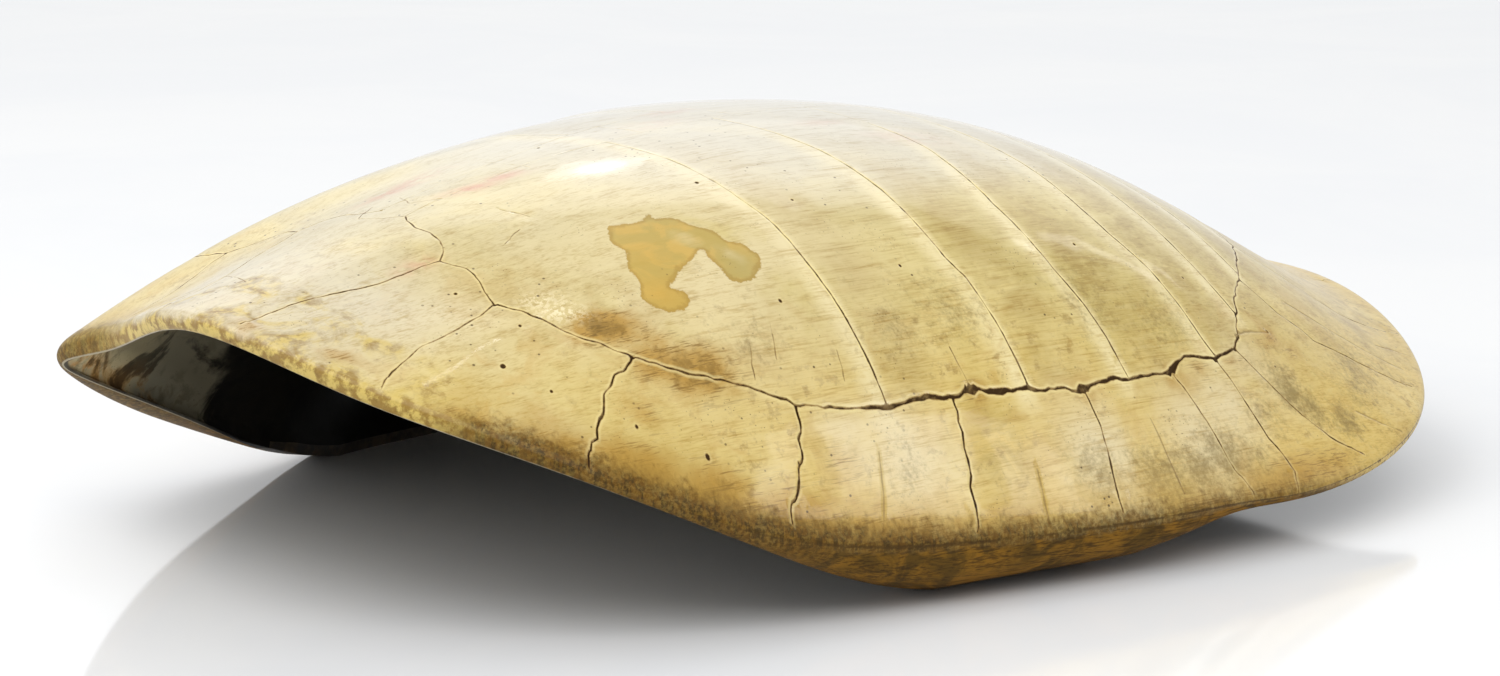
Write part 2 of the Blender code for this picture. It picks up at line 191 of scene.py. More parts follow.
LEFT_CRACKS = (
    ((-340, -44), (-339, 5), (-331, 35)),
    ((-298, 32), (-305, 10), (-311, -6), (-301, -55)),
    ((-338, -49), (-331, -59), (-316, -75)),
    ((-422, -121), (-436, -50), (-445, -9)),
    ((-291, 138), (-286, 190)),
    ((-320, 220), (-301, 206)),
    ((-117, 671), (-118, 689), (-119, 711)),
    ((-232, 560), (-240, 585)),
    ((-252, 560), (-262, 590)),
    ((-196, 610), (-203, 640)),
)
SULCI = (                       # faint lines where horny scutes once met
    ((-205, 711), (-217, 746), (-228, 765)),
    ((-103, 816), (-109, 843), (-112, 858)),
    ((0, 845), (-3, 880), (-6, 922)),
    ((124, 795), (140, 792), (163, 794)),
    ((198, 916), (218, 938), (234, 951)),
    ((315, 773), (337, 777), (351, 790)),
    ((225, 730), (275, 790), (315, 830)),
)
LEFT_PITS = (                   # place, and radius in mm
    (-397, 403, 1.7), (-319, 623, 1.4), (-377, 258, 1.0), (-368, 367, 1.0), (-211, 530, 1.0),
    (-110, 559, 0.9), (-176, 285, 1.3), (-136, 395, 0.9), (-188, -27, 1.0), (164, 792, 1.1),
    (-385, 470, 0.8), (-352, 560, 0.8), (-262, 675, 0.7), (40, 620, 0.8), (118, 700, 0.7),
)
# Each kind of line: half width and depth in mm, how far it wanders, how dark it is, how pale its sides
# are, and the share of the way out from the midline over which it grows from nothing.
LINE_KINDS = {
    "ring": (0.26, 0.9, 0.85, 1.00, 0.45, 0.00),
    "nuchal": (0.20, 0.6, 0.55, 0.95, 0.30, 0.00),
    "jagged": (0.32, 1.0, 1.60, 1.00, 0.40, 0.00),
    "rim": (0.22, 0.5, 0.45, 0.90, 0.25, 0.00),
    "costal": (0.26, 0.5, 0.22, 0.95, 0.80, 0.40),
    "neural": (0.12, 0.2, 0.60, 0.20, 0.10, 0.00),
    "crack": (0.11, 0.3, 0.50, 0.60, 0.10, 0.00),
    "sulcus": (0.34, 0.2, 0.30, 0.30, 0.00, 0.00),
}
PIT_WEAR = 0.75                 # how much of its radius a pit has kept
PIT_DEPTH = 0.9                 # as a share of its radius
PIT_SHADES = (1.0, 0.2)         # how dark it is, and how pale its sides are
GROWTH_START = 0.12             # where a line that grows starts, on the way out from the midline
WANDER_LENGTHS = (3.2, 6, 17)   # in mm, the lengths of a line's bends
SWELL_LENGTHS = (3.2, 13)       # in mm, the lengths over which it widens and narrows
SWELL = 0.6                     # how much it widens and narrows
LEAST_STRENGTH = 0.25           # of a line that grows, near the midline
SEAM_FADE = 0.02                # how far before the keel a line's depth fades, as a share of the way out
END_STEPS = 3                   # steps from an end over which a line comes back to its course
OPENED = (                      # where the ring seam gapes: place, extra half width and spread in mm
    (-119, 718, 2.1, 2.6), (-100, 737, 0.85, 7.0), (-78, 752, 0.55, 5.0), (-39, 784, 1.3, 3.6),
    (41, 811, 1.5, 3.2), (48, 806, 0.7, 3.0), (-150, 700, 0.55, 17.0), (-10, 792, 0.25, 26.0),
    (75, 812, 0.3, 14.0), (-185, 682, 0.35, 9.0), (100, 816, 0.25, 9.0),
)
STAIN = (                       # outline of the glue-coloured stain on the first left costal
    (-262, 297), (-257, 300), (-249, 311), (-240, 318), (-234, 309), (-231, 314), (-232, 323),
    (-224, 338), (-219, 362), (-214, 383), (-211, 400), (-211, 413), (-207, 424), (-202, 434),
    (-201, 451), (-200, 465), (-203, 475), (-210, 483), (-216, 490), (-223, 489), (-230, 479),
    (-232, 463), (-232, 446), (-232, 432), (-229, 421), (-230, 413), (-235, 413), (-241, 421),
    (-250, 425), (-258, 427), (-265, 436), (-271, 442), (-268, 451), (-265, 465), (-269, 476),
    (-276, 479), (-281, 476), (-287, 465), (-290, 452), (-292, 440), (-291, 428), (-286, 414),
    (-282, 390), (-276, 366), (-272, 348), (-273, 332), (-270, 316),
)
# Soft patches on the left side: place, half length and half width in mm, turn in degrees, strength.
PATCHES = {
    "brown": (
        (-329, 440, 15, 8, 30, 1.3), (-315, 474, 11, 6, 30, 0.7), (-304, 496, 15, 5, 25, 0.7),
        (-285, 532, 14, 5, 25, 0.7), (-296, 545, 20, 9, 30, 1.2), (-309, 520, 18, 9, 20, 1.0),
        (-268, 564, 12, 7, 30, 0.5), (-303, 572, 10, 7, 20, 0.45), (-404, 533, 16, 8, 40, 0.9),
        (-440, 440, 14, 6, 50, 0.8), (-365, 596, 24, 9, 30, 1.0), (-325, 659, 22, 10, 25, 1.0),
        (-340, 560, 12, 8, 30, 0.5), (-278, 712, 26, 9, 25, 0.9), (-213, 776, 30, 7, 20, 0.8),
        (-150, 826, 26, 5, 15, 0.6), (3, 945, 34, 6, 12, 0.7), (85, 965, 40, 7, 4, 0.8),
        (126, 975, 30, 7, 0, 0.7), (66, 825, 10, 5, 10, 0.6), (110, 828, 14, 5, 10, 0.5),
        (155, 806, 14, 6, -20, 0.6), (173, 822, 10, 5, -20, 0.5), (-119, 722, 9, 5, 15, 0.6),
        (-39, 790, 8, 5, 10, 0.5), (41, 818, 9, 5, 10, 0.6), (-470, 250, 10, 5, 60, 0.6),
        (-489, 120, 8, 12, 0, 0.5), (-235, 700, 14, 8, 20, 0.5), (-140, 762, 12, 8, 20, 0.3),
    ),
    "grime": (
        (140, 877, 12, 10, 20, 0.9), (150, 900, 10, 8, 20, 0.9), (177, 927, 12, 8, 0, 0.8),
        (-14, 897, 22, 9, 15, 0.8), (16, 912, 16, 8, 15, 0.9), (44, 913, 14, 9, 15, 0.9),
        (-60, 855, 14, 8, 15, 0.6), (62, 931, 16, 8, 10, 0.7), (100, 900, 14, 9, 10, 0.5),
        (-190, 740, 14, 7, 15, 0.4), (-100, 640, 18, 14, 20, 0.5), (-144, 628, 16, 8, 20, 0.5),
        (13, 701, 18, 16, 10, 0.4), (61, 755, 18, 12, 10, 0.5), (230, 860, 26, 12, -30, 0.6),
        (-250, 553, 14, 8, 20, 0.4),
    ),
    # pale patches: paler bone, and on the rim plates over the bridge a painted reflection of the side
    # light
    "pale_and_sheen": (
        (-218, 690, 20, 12, 20, 0.9), (-190, 722, 24, 15, 20, 1.0), (-165, 740, 14, 14, 20, 0.6),
        (-385, 360, 26, 16, 40, 0.5), (-350, 470, 12, 8, 40, 0.4), (-122, 830, 14, 10, 15, 0.3),
        (-30, 850, 20, 18, 10, 0.5), (70, 870, 22, 15, 5, 1.0), (115, 840, 24, 18, 5, 0.7),
        (-395, 300, 30, 16, 40, 0.8), (-52, 841, 26, 16, 15, 1.1), (35, 879, 24, 16, 10, 1.0),
        (-254, 562, 22, 10, 20, 0.6), (-401, 524, 20, 12, 40, 0.5), (-235, 420, 78, 50, 10, 0.9),
        (-349, 428, 10, 5, 30, 0.7),
    ),
    "olive": (
        (-318, 380, 26, 14, 40, 0.8), (-300, 430, 30, 16, 30, 0.8), (-352, 345, 34, 16, 40, 1.0),
        (-122, 780, 16, 13, 15, 1.0), (-30, 640, 30, 26, 70, 0.6), (50, 640, 26, 26, 80, 0.6),
        (-345, 330, 22, 18, 60, 0.5), (-255, 520, 40, 18, 20, 0.4), (110, 620, 22, 26, 80, 0.5),
        (-320, 250, 20, 14, 40, 0.4), (300, 760, 60, 30, -50, 0.6), (380, 600, 60, 30, -60, 0.6),
    ),
    "amber": ((-278, 450, 13, 9, 20, 1.0), (-266, 380, 12, 9, 20, 0.5)),
    "moss": ((-216, 464, 11, 9, 10, 1.0), (-236, 312, 6, 5, 0, 0.7)),
    "nick": ((-216, 442, 6, 1.4, 75, 0.5), (-232, 385, 5, 2.6, 60, 0.8)),
    "worn": ((-345, 352, 9, 4, 30, 0.8), (-341, 388, 9, 4, 30, 1.0)),
    "pink": (
        (-286, -110, 14, 6, 10, 0.8), (-260, -118, 14, 5, 10, 0.7), (-276, 40, 12, 4, 20, 0.9),
        (-250, 45, 12, 4, 10, 0.8), (-58, -46, 14, 6, 0, 0.7), (-6, 182, 14, 5, 10, 0.5),
        (25, 300, 18, 8, 20, 0.5), (-376, 170, 10, 4, 10, 0.6), (-100, 20, 16, 7, 0, 0.4),
    ),
}

# Where the marks that follow the shell's length start and are full, as x shares and, across, as y shares
FRONT = (-0.22, -0.40)          # the paler bone of the front
BROW_ALONG = (-0.36, -0.42)     # the bleached bone over the neck
BROW_ACROSS = (0.36, 0.20)
LIP = (-0.39, -0.44)            # the lip that is open in front
BRIDGE_FRONT = (-0.31, -0.25)
BRIDGE_REAR = (0.16, 0.10)
CRUST = (                       # x share, and how much brown crust lies above the keel there
    (-0.46, 0.0), (-0.42, 0.90), (-0.34, 1.00), (-0.18, 0.75), (0.0, 0.45), (0.08, 0.50), (0.15, 0.20),
    (0.20, 0.0),
)

# ---------------------------------------------------------------- how fine the mesh is
SEAM_STEP = 1.6 * MM
SAMPLE_STEP = 0.4 * MM
SHOULDER = 1.3 * MM             # from a groove's lip to the next line of points
FRINGE = 4.2 * MM               # how far from a seam its pale side can reach
REACH_LIMIT = 9.0 * MM          # beyond this no point needs its distance to a seam
FIELD_SPACING = 5.2 * MM
FIELD_CLEARANCE = 3.4 * MM
FIELD_END = 0.90
EDGE_RINGS = (0.912, 0.924, 0.936, 0.947, 0.957, 0.966, 0.974, 0.981, 0.987, 0.9925, 0.997)
SEAM_END = 0.992
PIT_CORNERS = 8
STAIN_BORDER = 2.0 * MM         # from the stain's outline to the lines of points beside it
STAIN_CLEARANCE = 2.6 * MM
RIM_COLUMNS = 720
RIM_SAMPLES = 1201
ROLL_ROWS = 12
ROLL_SAMPLES = 120
INNER_SPACING = 9.0 * MM
INNER_RING = 0.90
INNER_CORNER = 0.995
INNER_FREE_END = 0.885
INNER_ROLL_ROWS = 8
MERGE_DISTANCE = 0.12 * MM
NORMAL_STEP = 0.5 * MM
SHARP_ANGLE = math.radians(38)
ROUNDING_STEP = 0.4 * MM        # spacing of the profiles across the keel
ROUNDING_REACH = 50             # steps on each side of the keel
ROUNDING_BLUR = 4.0 * MM
BLUR_REACH = 30                 # steps
ROUNDING_SPAN = 17 * MM         # no rounding beyond this distance from the keel
ROUNDING_FULL = 10.2 * MM

STREAK_TURN = 10                # degrees by which the bone's streaks turn outward to the rear

OUTSIDE, SAWN, INSIDE = 0, 1, 2     # the shell's material slots


# ---------------------------------------------------------------- the dome as a formula
def rise(values, start, end):
    """0 where values are start, 1 where they are end, straight between and level beyond."""
    return np.clip((values - start) / (end - start), 0, 1)


def bell(values, width):
    """1 where values are 0, and falling smoothly to nothing on both sides."""
    return np.exp(-(values / width) ** 2)


def closed_curve(values, place):
    """A smooth closed curve through values, read at place (0 is the first value, 1 the second)."""
    values = np.asarray(values, float)
    count = len(values)
    rows = 4 * np.eye(count) + np.roll(np.eye(count), 1, 0) + np.roll(np.eye(count), -1, 0)
    bends = np.linalg.solve(rows, 6 * (np.roll(values, 1) - 2 * values + np.roll(values, -1)))
    first = np.floor(place).astype(int) % count
    second = (first + 1) % count
    after = place - np.floor(place)
    before = 1 - after
    straight = before * values[first] + after * values[second]
    bend = (before ** 3 - before) * bends[first] + (after ** 3 - after) * bends[second]
    return straight + bend / 6


def rim_at(place):
    """Keel x, y, z, dome slope, cut height and reach at place, all round the shell."""
    scales = (LENGTH, HALF_WIDTH, HEIGHT, 1.0, HEIGHT, HALF_WIDTH)
    columns = []
    for index, scale in enumerate(scales):
        left = np.array([station[index] for station in RIM]) * scale
        right = left.copy()
        for number, station in RIGHT_RIM.items():
            right[number] = station[index] * scale
        sign = -1 if index == 1 else 1
        columns.append(closed_curve(np.concatenate([right, sign * left[-2:0:-1]]), place))
    columns[4] = np.maximum(columns[4], 0.0)        # sawn flat on the table
    return columns


def rim_towards(x, y):
    """The rim's values in the direction of x, y from the crown."""
    place = np.linspace(0, ROUND, RIM_SAMPLES)
    rim_x, rim_y, *_ = rim_at(place)
    angles = np.unwrap(np.arctan2(rim_y, rim_x - CROWN_X))
    angle = np.arctan2(y, x - CROWN_X)
    return rim_at(np.interp(angle, angles[::-1], place[::-1]))


def dome_shape(x, y):
    """Height of the dome at x, y, and the share of the way from the crown to the keel."""
    rim_x, rim_y, rim_z, slope, _, _ = rim_towards(x, y)
    out_x, out_y = rim_x - CROWN_X, rim_y
    share = np.hypot(x - CROWN_X, y) / np.hypot(out_x, out_y)
    climb = HEIGHT - rim_z
    square = (out_x ** 2 / CROWN_RADIUS_ALONG + out_y ** 2 / CROWN_RADIUS_ACROSS) / (2 * climb)
    fourth = (6 - 4 * square - slope) / 2
    sixth = 1 - square - fourth
    drop = square * share ** 2 + fourth * share ** 4 + sixth * share ** 6
    return rim_z + climb * (1 - drop), share


def dome_normal(x, y):
    """Outward unit normal of the dome at x, y."""
    step = NORMAL_STEP
    along_x = (dome_shape(x + step, y)[0] - dome_shape(x - step, y)[0]) / (2 * step)
    along_y = (dome_shape(x, y + step)[0] - dome_shape(x, y - step)[0]) / (2 * step)
    normal = np.stack([-along_x, -along_y, np.ones_like(along_x)], axis=-1)
    return normal / np.linalg.norm(normal, axis=-1, keepdims=True)


def inner_relief(x, y, share):
    """How far the backbone and the ribs stand in from the inner face."""
    front, rear = (end * LENGTH for end in BACKBONE_ENDS)
    fade = np.clip(np.minimum(x - front, rear - x) / BACKBONE_FADE, 0, 1)
    backbone = BACKBONE_HEIGHT * fade * bell(y, BACKBONE_HALF_WIDTH)
    fade = rise(share, RIB_END, RIB_FULL) * rise(np.abs(y), RIB_ROOT, RIB_ROOT_FULL)
    ribs = np.zeros_like(x)
    starts = [(seam[0], seam[-1]) for seam in (NUCHAL_SEAM, *COSTAL_SEAMS)]
    for before, after in zip(starts[:-1], starts[1:]):
        root, tip = (np.add(before[i], after[i]) / 2000 * (LENGTH, HALF_WIDTH) for i in (0, 1))
        middle = root[0] + (tip[0] - root[0]) * (np.abs(y) - root[1]) / (tip[1] - root[1])
        ribs = np.maximum(ribs, RIB_HEIGHT * fade * bell(x - middle, RIB_HALF_WIDTH))
    return np.maximum(backbone, ribs)


def inner_face(x, y):
    """Points of the inner face: the dome at one wall's thickness, which thins towards a thin rim."""
    _, _, rim_z, _, cut_z, _ = rim_towards(x, y)
    z, share = dome_shape(x, y)
    edge = rise(share, THINNING_START, 1)
    wall = np.maximum(WALL_AT_MIDDLE - WALL_TAPER * x, WALL_LEAST)
    wall = wall * (1 - edge) + np.minimum(wall, EDGE_WALL_SHARE * (rim_z - cut_z)) * edge
    wall = wall + inner_relief(x, y, share)
    return np.stack([x, y, z], axis=1) - dome_normal(x, y) * wall[:, None]


# ---------------------------------------------------------------- the keel's rounding
def carried_on(rows, count):
    """Rows of values, carried on straight past both of their ends by count steps."""
    first = rows[:, :1] + (rows[:, :1] - rows[:, 1:2]) * np.arange(count, 0, -1)
    last = rows[:, -1:] + (rows[:, -1:] - rows[:, -2:-1]) * np.arange(1, count + 1)
    return np.concatenate([first, rows, last], axis=1)


class KeelRounding:
    """How far each point near the keel moves so that the dome runs into the roll without a crease.

    Each rim column has a profile across the keel: the dome, straight, before it, and the roll after
    it. The moves are the profile, blurred, less the profile itself.
    """

    def __init__(self, place):
        rim_x, rim_y, rim_z, slope, cut_z, reach = rim_at(place)
        self.radius = np.hypot(rim_x - CROWN_X, rim_y)
        self.steepness = slope * (HEIGHT - rim_z) / self.radius
        angles = np.unwrap(np.arctan2(rim_y, rim_x - CROWN_X))
        self.angles = np.append(angles, angles[0] - 2 * math.pi)
        self.turns = np.linspace(0, math.pi / 2, ROLL_SAMPLES)
        roll_in = reach[:, None] * (1 - np.cos(self.turns))
        roll_down = (rim_z - cut_z)[:, None] * np.sin(self.turns) ** ROLL_FULLNESS
        hops = np.hypot(np.diff(roll_in, axis=1), np.diff(roll_down, axis=1))
        self.roll_arc = np.pad(np.cumsum(hops, axis=1), ((0, 0), (1, 0)))
        self.steps = np.arange(-ROUNDING_REACH, ROUNDING_REACH + 1) * ROUNDING_STEP
        out = np.minimum(self.steps, 0) / np.hypot(1, self.steepness)[:, None]
        up = -out * self.steepness[:, None]
        past = self.steps > 0
        for column, arc in enumerate(self.roll_arc):
            out[column, past] = -np.interp(self.steps[past], arc, roll_in[column])
            up[column, past] = -np.interp(self.steps[past], arc, roll_down[column])
        blur = np.arange(-BLUR_REACH, BLUR_REACH + 1) * ROUNDING_STEP / ROUNDING_BLUR
        kernel = np.exp(-0.5 * blur ** 2)
        kernel /= kernel.sum()
        window = rise(np.abs(self.steps), ROUNDING_SPAN, ROUNDING_FULL)
        self.moves = []
        for profile in (out, up):
            rows = carried_on(profile, BLUR_REACH)
            smooth = np.stack([np.convolve(row, kernel, mode="valid") for row in rows])
            self.moves.append((smooth - profile) * window)

    def move(self, column, arc):
        """Outward and upward shift at a column, which may lie between two, and a distance along."""
        first = np.floor(column).astype(int) % len(self.radius)
        second = (first + 1) % len(self.radius)
        after = column - np.floor(column)
        spot = np.clip((arc - self.steps[0]) / ROUNDING_STEP, 0, len(self.steps) - 1.001)
        low = np.floor(spot).astype(int)
        part = spot - low
        shifts = []
        for table in self.moves:
            here = table[first, low] * (1 - part) + table[first, low + 1] * part
            there = table[second, low] * (1 - part) + table[second, low + 1] * part
            shifts.append(here * (1 - after) + there * after)
        return shifts

    def on_dome(self, x, y, share):
        """The shift of dome points at x, y."""
        start = self.angles[0]
        angle = start - np.mod(start - np.arctan2(y, x - CROWN_X), 2 * math.pi)
        column = np.interp(angle, self.angles[::-1], np.arange(len(self.angles))[::-1])
        near = np.floor(column).astype(int) % len(self.radius)
        return self.move(column, -(1 - share) * self.radius[near] * np.hypot(1, self.steepness[near]))

    def on_roll(self, turn):
        """The shift of each column's point on the roll at this turn from the keel."""
        arc = np.array([np.interp(turn, self.turns, row) for row in self.roll_arc])
        return self.move(np.arange(len(self.radius)), arc)


# ---------------------------------------------------------------- lines on the dome
def metres(places, side=1):
    """Plan points in metres. side is 1 for the left side of the shell and -1 for the right."""
    points = np.array(places, float) / 1000 * (LENGTH, -HALF_WIDTH)
    if side == 1:
        return points
    mirrored = points * (1, -1)
    (left_x, left_y), (right_x, right_y) = rim_towards(*points.T)[:2], rim_towards(*mirrored.T)[:2]
    wider = np.hypot(right_x - CROWN_X, right_y) / np.hypot(left_x - CROWN_X, left_y)
    return (CROWN_X, 0) + (mirrored - (CROWN_X, 0)) * wider[:, None]


def along(path):
    """Distance along a path at each of its points."""
    return np.concatenate([[0], np.cumsum(np.linalg.norm(np.diff(path, axis=0), axis=1))])


def resampled(path, step):
    """The same path with points about one step apart."""
    lengths = along(path)
    count = max(2, round(lengths[-1] / step))
    stops = np.linspace(0, lengths[-1], count + 1)
    return np.stack([np.interp(stops, lengths, path[:, axis]) for axis in (0, 1)], axis=1)


def sideways(path):
    """Unit vectors square to a path."""
    ahead = np.gradient(path, axis=0)
    ahead /= np.linalg.norm(ahead, axis=1, keepdims=True)
    return np.stack([-ahead[:, 1], ahead[:, 0]], axis=1)


def wandering(count, lengths_mm, random):
    """Smooth random values along a line, from -1 to 1, with bends of the given lengths."""
    total = np.zeros(count)
    for length in lengths_mm:
        knots = max(4, int(count * SEAM_STEP / (length * MM)) + 3)
        places = np.linspace(0, knots - 1, count)
        total += np.interp(places, np.arange(knots), random.uniform(-1, 1, knots))
    return total / len(lengths_mm) ** 0.5


class Line:
    """One seam or crack: its centre line, and its half width and depth at each point."""

    def __init__(self, kind, points, seed):
        half_width, depth, wander, self.dark, self.glow, grow = LINE_KINDS[kind]
        random = np.random.default_rng(seed)
        path = resampled(points, SEAM_STEP)
        count = len(path)
        offset = wandering(count, WANDER_LENGTHS, random) * wander * MM
        ends = np.minimum(np.arange(count), np.arange(count)[::-1]) / END_STEPS
        self.path = path + sideways(path) * (offset * np.clip(ends, 0, 1))[:, None]
        swell = 1 + SWELL * wandering(count, SWELL_LENGTHS, random)
        if kind == "ring":
            for x, y, extra, spread in OPENED:
                gap = np.linalg.norm(self.path - metres((x, y)), axis=1)
                swell += extra / half_width * bell(gap, spread * MM)
        self.strength = np.ones(count)
        if grow:
            out = np.abs(self.path[:, 1]) / HALF_WIDTH
            grown = rise(out, GROWTH_START, GROWTH_START + grow)
            self.strength = LEAST_STRENGTH + (1 - LEAST_STRENGTH) * grown
        _, share = dome_shape(*self.path.T)
        self.inside = share < SEAM_END
        fade = np.clip((SEAM_END - share) / SEAM_FADE, 0.15, 1)
        self.half_width = half_width * MM * np.clip(swell, 0.45, None) * (0.6 + 0.4 * self.strength)
        self.depth = depth * MM * np.clip(swell, 0.5, 1.6) * self.strength * fade


def all_lines():
    """Every seam and crack of both sides."""
    both = [("ring", RING_SEAM), ("nuchal", NUCHAL_SEAM)]
    kinds = {"costal": COSTAL_SEAMS, "jagged": JAGGED_SEAMS, "rim": RIM_SEAMS, "neural": NEURAL_SEAMS,
             "sulcus": SULCI}
    for kind, seams in kinds.items():
        both += [(kind, seam) for seam in seams]
    lines = []
    for side in (1, -1):
        for index, (kind, seam) in enumerate(both):
            lines.append(Line(kind, metres(seam, side), 100 * (2 + side) + index))
    for index, seam in enumerate(LEFT_CRACKS):
        lines.append(Line("crack", metres(seam), 500 + index))
    for index, x in enumerate(NEURAL_ENDS):
        lines.append(Line("neural", metres(((x, -50), (x, 50))), 600 + index))
    return lines


def tree_of(points):
    """A search tree for the nearest of these points."""
    tree = KDTree(len(points))
    for index, point in enumerate(points):
        tree.insert(point, index)
    tree.balance()
    return tree


class NearestLine:
    """Looks up the nearest line or pit to a plan point."""

    def __init__(self, lines, pits):
        rows = []
        for line in lines:
            lengths = along(line.path)
            stops = np.arange(0, lengths[-1], SAMPLE_STEP)
            values = (*line.path.T, line.half_width, line.depth,
                      line.dark * line.strength, line.glow * line.strength)
            rows.append(np.stack([np.interp(stops, lengths, value) for value in values], axis=1))
        rows += [[[x, y, radius, PIT_DEPTH * radius, *PIT_SHADES]] for x, y, radius in pits]
        self.rows = np.concatenate(rows)
        self.tree = tree_of([(x, y, 0) for x, y in self.rows[:, :2]])

    def read(self, points):
        """Distance to the nearest line's centre, and its row: x, y, half width, depth, dark, glow."""
        found = [self.tree.find((x, y, 0)) for x, y in points]
        distance = np.array([item[2] for item in found])
        return distance, self.rows[[item[1] for item in found]]


def stain_outline():
    """The stain's outline as a smooth closed path in metres."""
    corners = metres(STAIN)
    place = np.linspace(0, len(corners), len(corners) * 3, endpoint=False)
    return np.stack([closed_curve(corners[:, axis], place) for axis in (0, 1)], axis=1)


def signed_distance(points, outline):
    """Distance to a closed outline, negative inside it."""
    nearest = np.full(len(points), np.inf)
    inside = np.zeros(len(points), bool)
    for start, end in zip(outline, np.roll(outline, -1, axis=0)):
        line = end - start
        share = np.clip((points - start) @ line / (line @ line), 0, 1)
        gap = np.linalg.norm(points - start - share[:, None] * line, axis=1)
        nearest = np.minimum(nearest, gap)
        crosses = (points[:, 1] < start[1]) != (points[:, 1] < end[1])
        height = (points[:, 1] - start[1]) / (line[1] if line[1] else 1e-12)
        inside ^= crosses & (points[:, 0] < start[0] + height * line[0])
    return np.where(inside, -nearest, nearest)


def soft_patches(points, kind):
    """How strongly the soft patches of one kind cover each plan point, from 0 to about 1."""
    cover = np.zeros(len(points))
    for x, y, long, wide, turn, strength in PATCHES[kind]:
        away = (points - metres((x, y))) * (1, -1)
        angle = math.radians(turn)
        forward = away[:, 0] * math.cos(angle) + away[:, 1] * math.sin(angle)
        across = away[:, 1] * math.cos(angle) - away[:, 0] * math.sin(angle)
        reach = (forward / (long * MM)) ** 2 + (across / (wide * MM)) ** 2
        cover = np.maximum(cover, strength * np.exp(-0.7 * reach))
    return cover


# ---------------------------------------------------------------- triangles in plan
class Plan:
    """Points and fixed edges in plan, within a closed ring of points, to be joined by triangles."""

    def __init__(self, ring):
        self.points = []
        self.edges = []
        self.ring_count = len(ring)
        self.add_loop(ring)

    def add(self, points):
        self.points.extend(tuple(point) for point in points)

    def add_loop(self, points):
        """Adds points in order, and the edges of the closed loop through them."""
        start, count = len(self.points), len(points)
        self.add(points)
        self.edges += [(start + i, start + (i + 1) % count) for i in range(count)]

    def add_run(self, points, keep):
        """Adds points in order, and an edge between each two neighbours that are both kept."""
        previous = None
        for point, kept in zip(points, keep):
            if kept:
                self.points.append(tuple(point))
                if previous is not None:
                    self.edges.append((previous, len(self.points) - 1))
                previous = len(self.points) - 1
            else:
                previous = None

    def triangles(self):
        """The points as joined up, their triangles, and where the ring's points are among them."""
        joined, _, faces, sources, _, _ = delaunay_2d_cdt(self.points, self.edges, [], 1, MERGE_DISTANCE)
        places = {number: index for index, source in enumerate(sources) for number in source}
        ring = [places[number] for number in range(self.ring_count)]
        return np.array([tuple(point) for point in joined]), faces, ring


def scattered(spacing, free_end, centred=False):
    """Evenly spaced plan points, out to a share of the way to the keel, in rows along the shell."""
    rows = np.arange(-HALF_WIDTH, HALF_WIDTH, spacing * math.sqrt(3) / 2)
    if centred:
        rows = rows - rows[np.abs(rows).argmin()]
    x = np.arange(-LENGTH / 2, LENGTH / 2, spacing)
    field = [np.stack([x + i % 2 * spacing / 2, np.full_like(x, y)], axis=1) for i, y in enumerate(rows)]
    field = np.concatenate(field)
    return field[dome_shape(*field.T)[1] < free_end]


def add_groove(plan, line, nearest):
    """Adds a line's centre and lips as edges, and points beside them, clear of other lines."""
    plan.add_run(line.path, line.inside)
    square = sideways(line.path)
    for sign in (1, -1):
        lip = line.path + sign * square * line.half_width[:, None]
        distance, _ = nearest.read(lip)
        plan.add_run(lip, line.inside & (distance > 0.85 * line.half_width))
        for beyond, every in ((SHOULDER, 1), (FRINGE, 2)):
            outer = lip + sign * square * beyond
            distance, rows = nearest.read(outer)
            keep = distance > 0.9 * beyond + rows[:, 2] * 0.8
            keep &= dome_shape(*outer.T)[1] < SEAM_END
            keep &= np.arange(len(outer)) % every == 0
            plan.add(outer[keep])


def dome_plan(rim_points, lines, pits, nearest):
    """Plan points and triangles of the dome, with its grooves as edges, and where the rim is."""
    plan = Plan(rim_points)
    for line in lines:
        add_groove(plan, line, nearest)
    turns = np.arange(PIT_CORNERS) * 2 * math.pi / PIT_CORNERS
    for x, y, radius in pits:
        plan.add([(x, y)])
        for reach in (radius, 2.2 * radius):
            plan.add((x + reach * math.cos(turn), y + reach * math.sin(turn)) for turn in turns)
    outline = stain_outline()
    plan.add_loop(outline)
    for shift in (-STAIN_BORDER, STAIN_BORDER):
        plan.add((outline + shift * sideways(outline))[::2])
    for ring_share in EDGE_RINGS:
        ring = (CROWN_X, 0) + ring_share * (rim_points - (CROWN_X, 0))
        distance, rows = nearest.read(ring)
        plan.add(ring[distance > SHOULDER + rows[:, 2]])
    field = scattered(FIELD_SPACING, FIELD_END)
    distance, _ = nearest.read(field)
    clear = (distance > FIELD_CLEARANCE) & (np.abs(signed_distance(field, outline)) > STAIN_CLEARANCE)
    plan.add(field[clear])
    return plan.triangles()


# ---------------------------------------------------------------- the shell's mesh
class Rim:
    """The columns all round the keel: their points, the way inward, and the edge below them."""

    def __init__(self):
        place = np.arange(RIM_COLUMNS) * ROUND / RIM_COLUMNS
        x, y, z, _, cut_z, self.reach = rim_at(place)
        self.keel = np.stack([x, y, z], axis=1)
        self.outward = np.stack([x - CROWN_X, y], axis=1)
        self.inward = -self.outward / np.hypot(x - CROWN_X, y)[:, None]
        self.depth = z - cut_z
        self.rounding = KeelRounding(place)

    def shrunk(self, share):
        """Plan points at a share of the way from the crown to the keel."""
        return (CROWN_X, 0) + share * self.outward


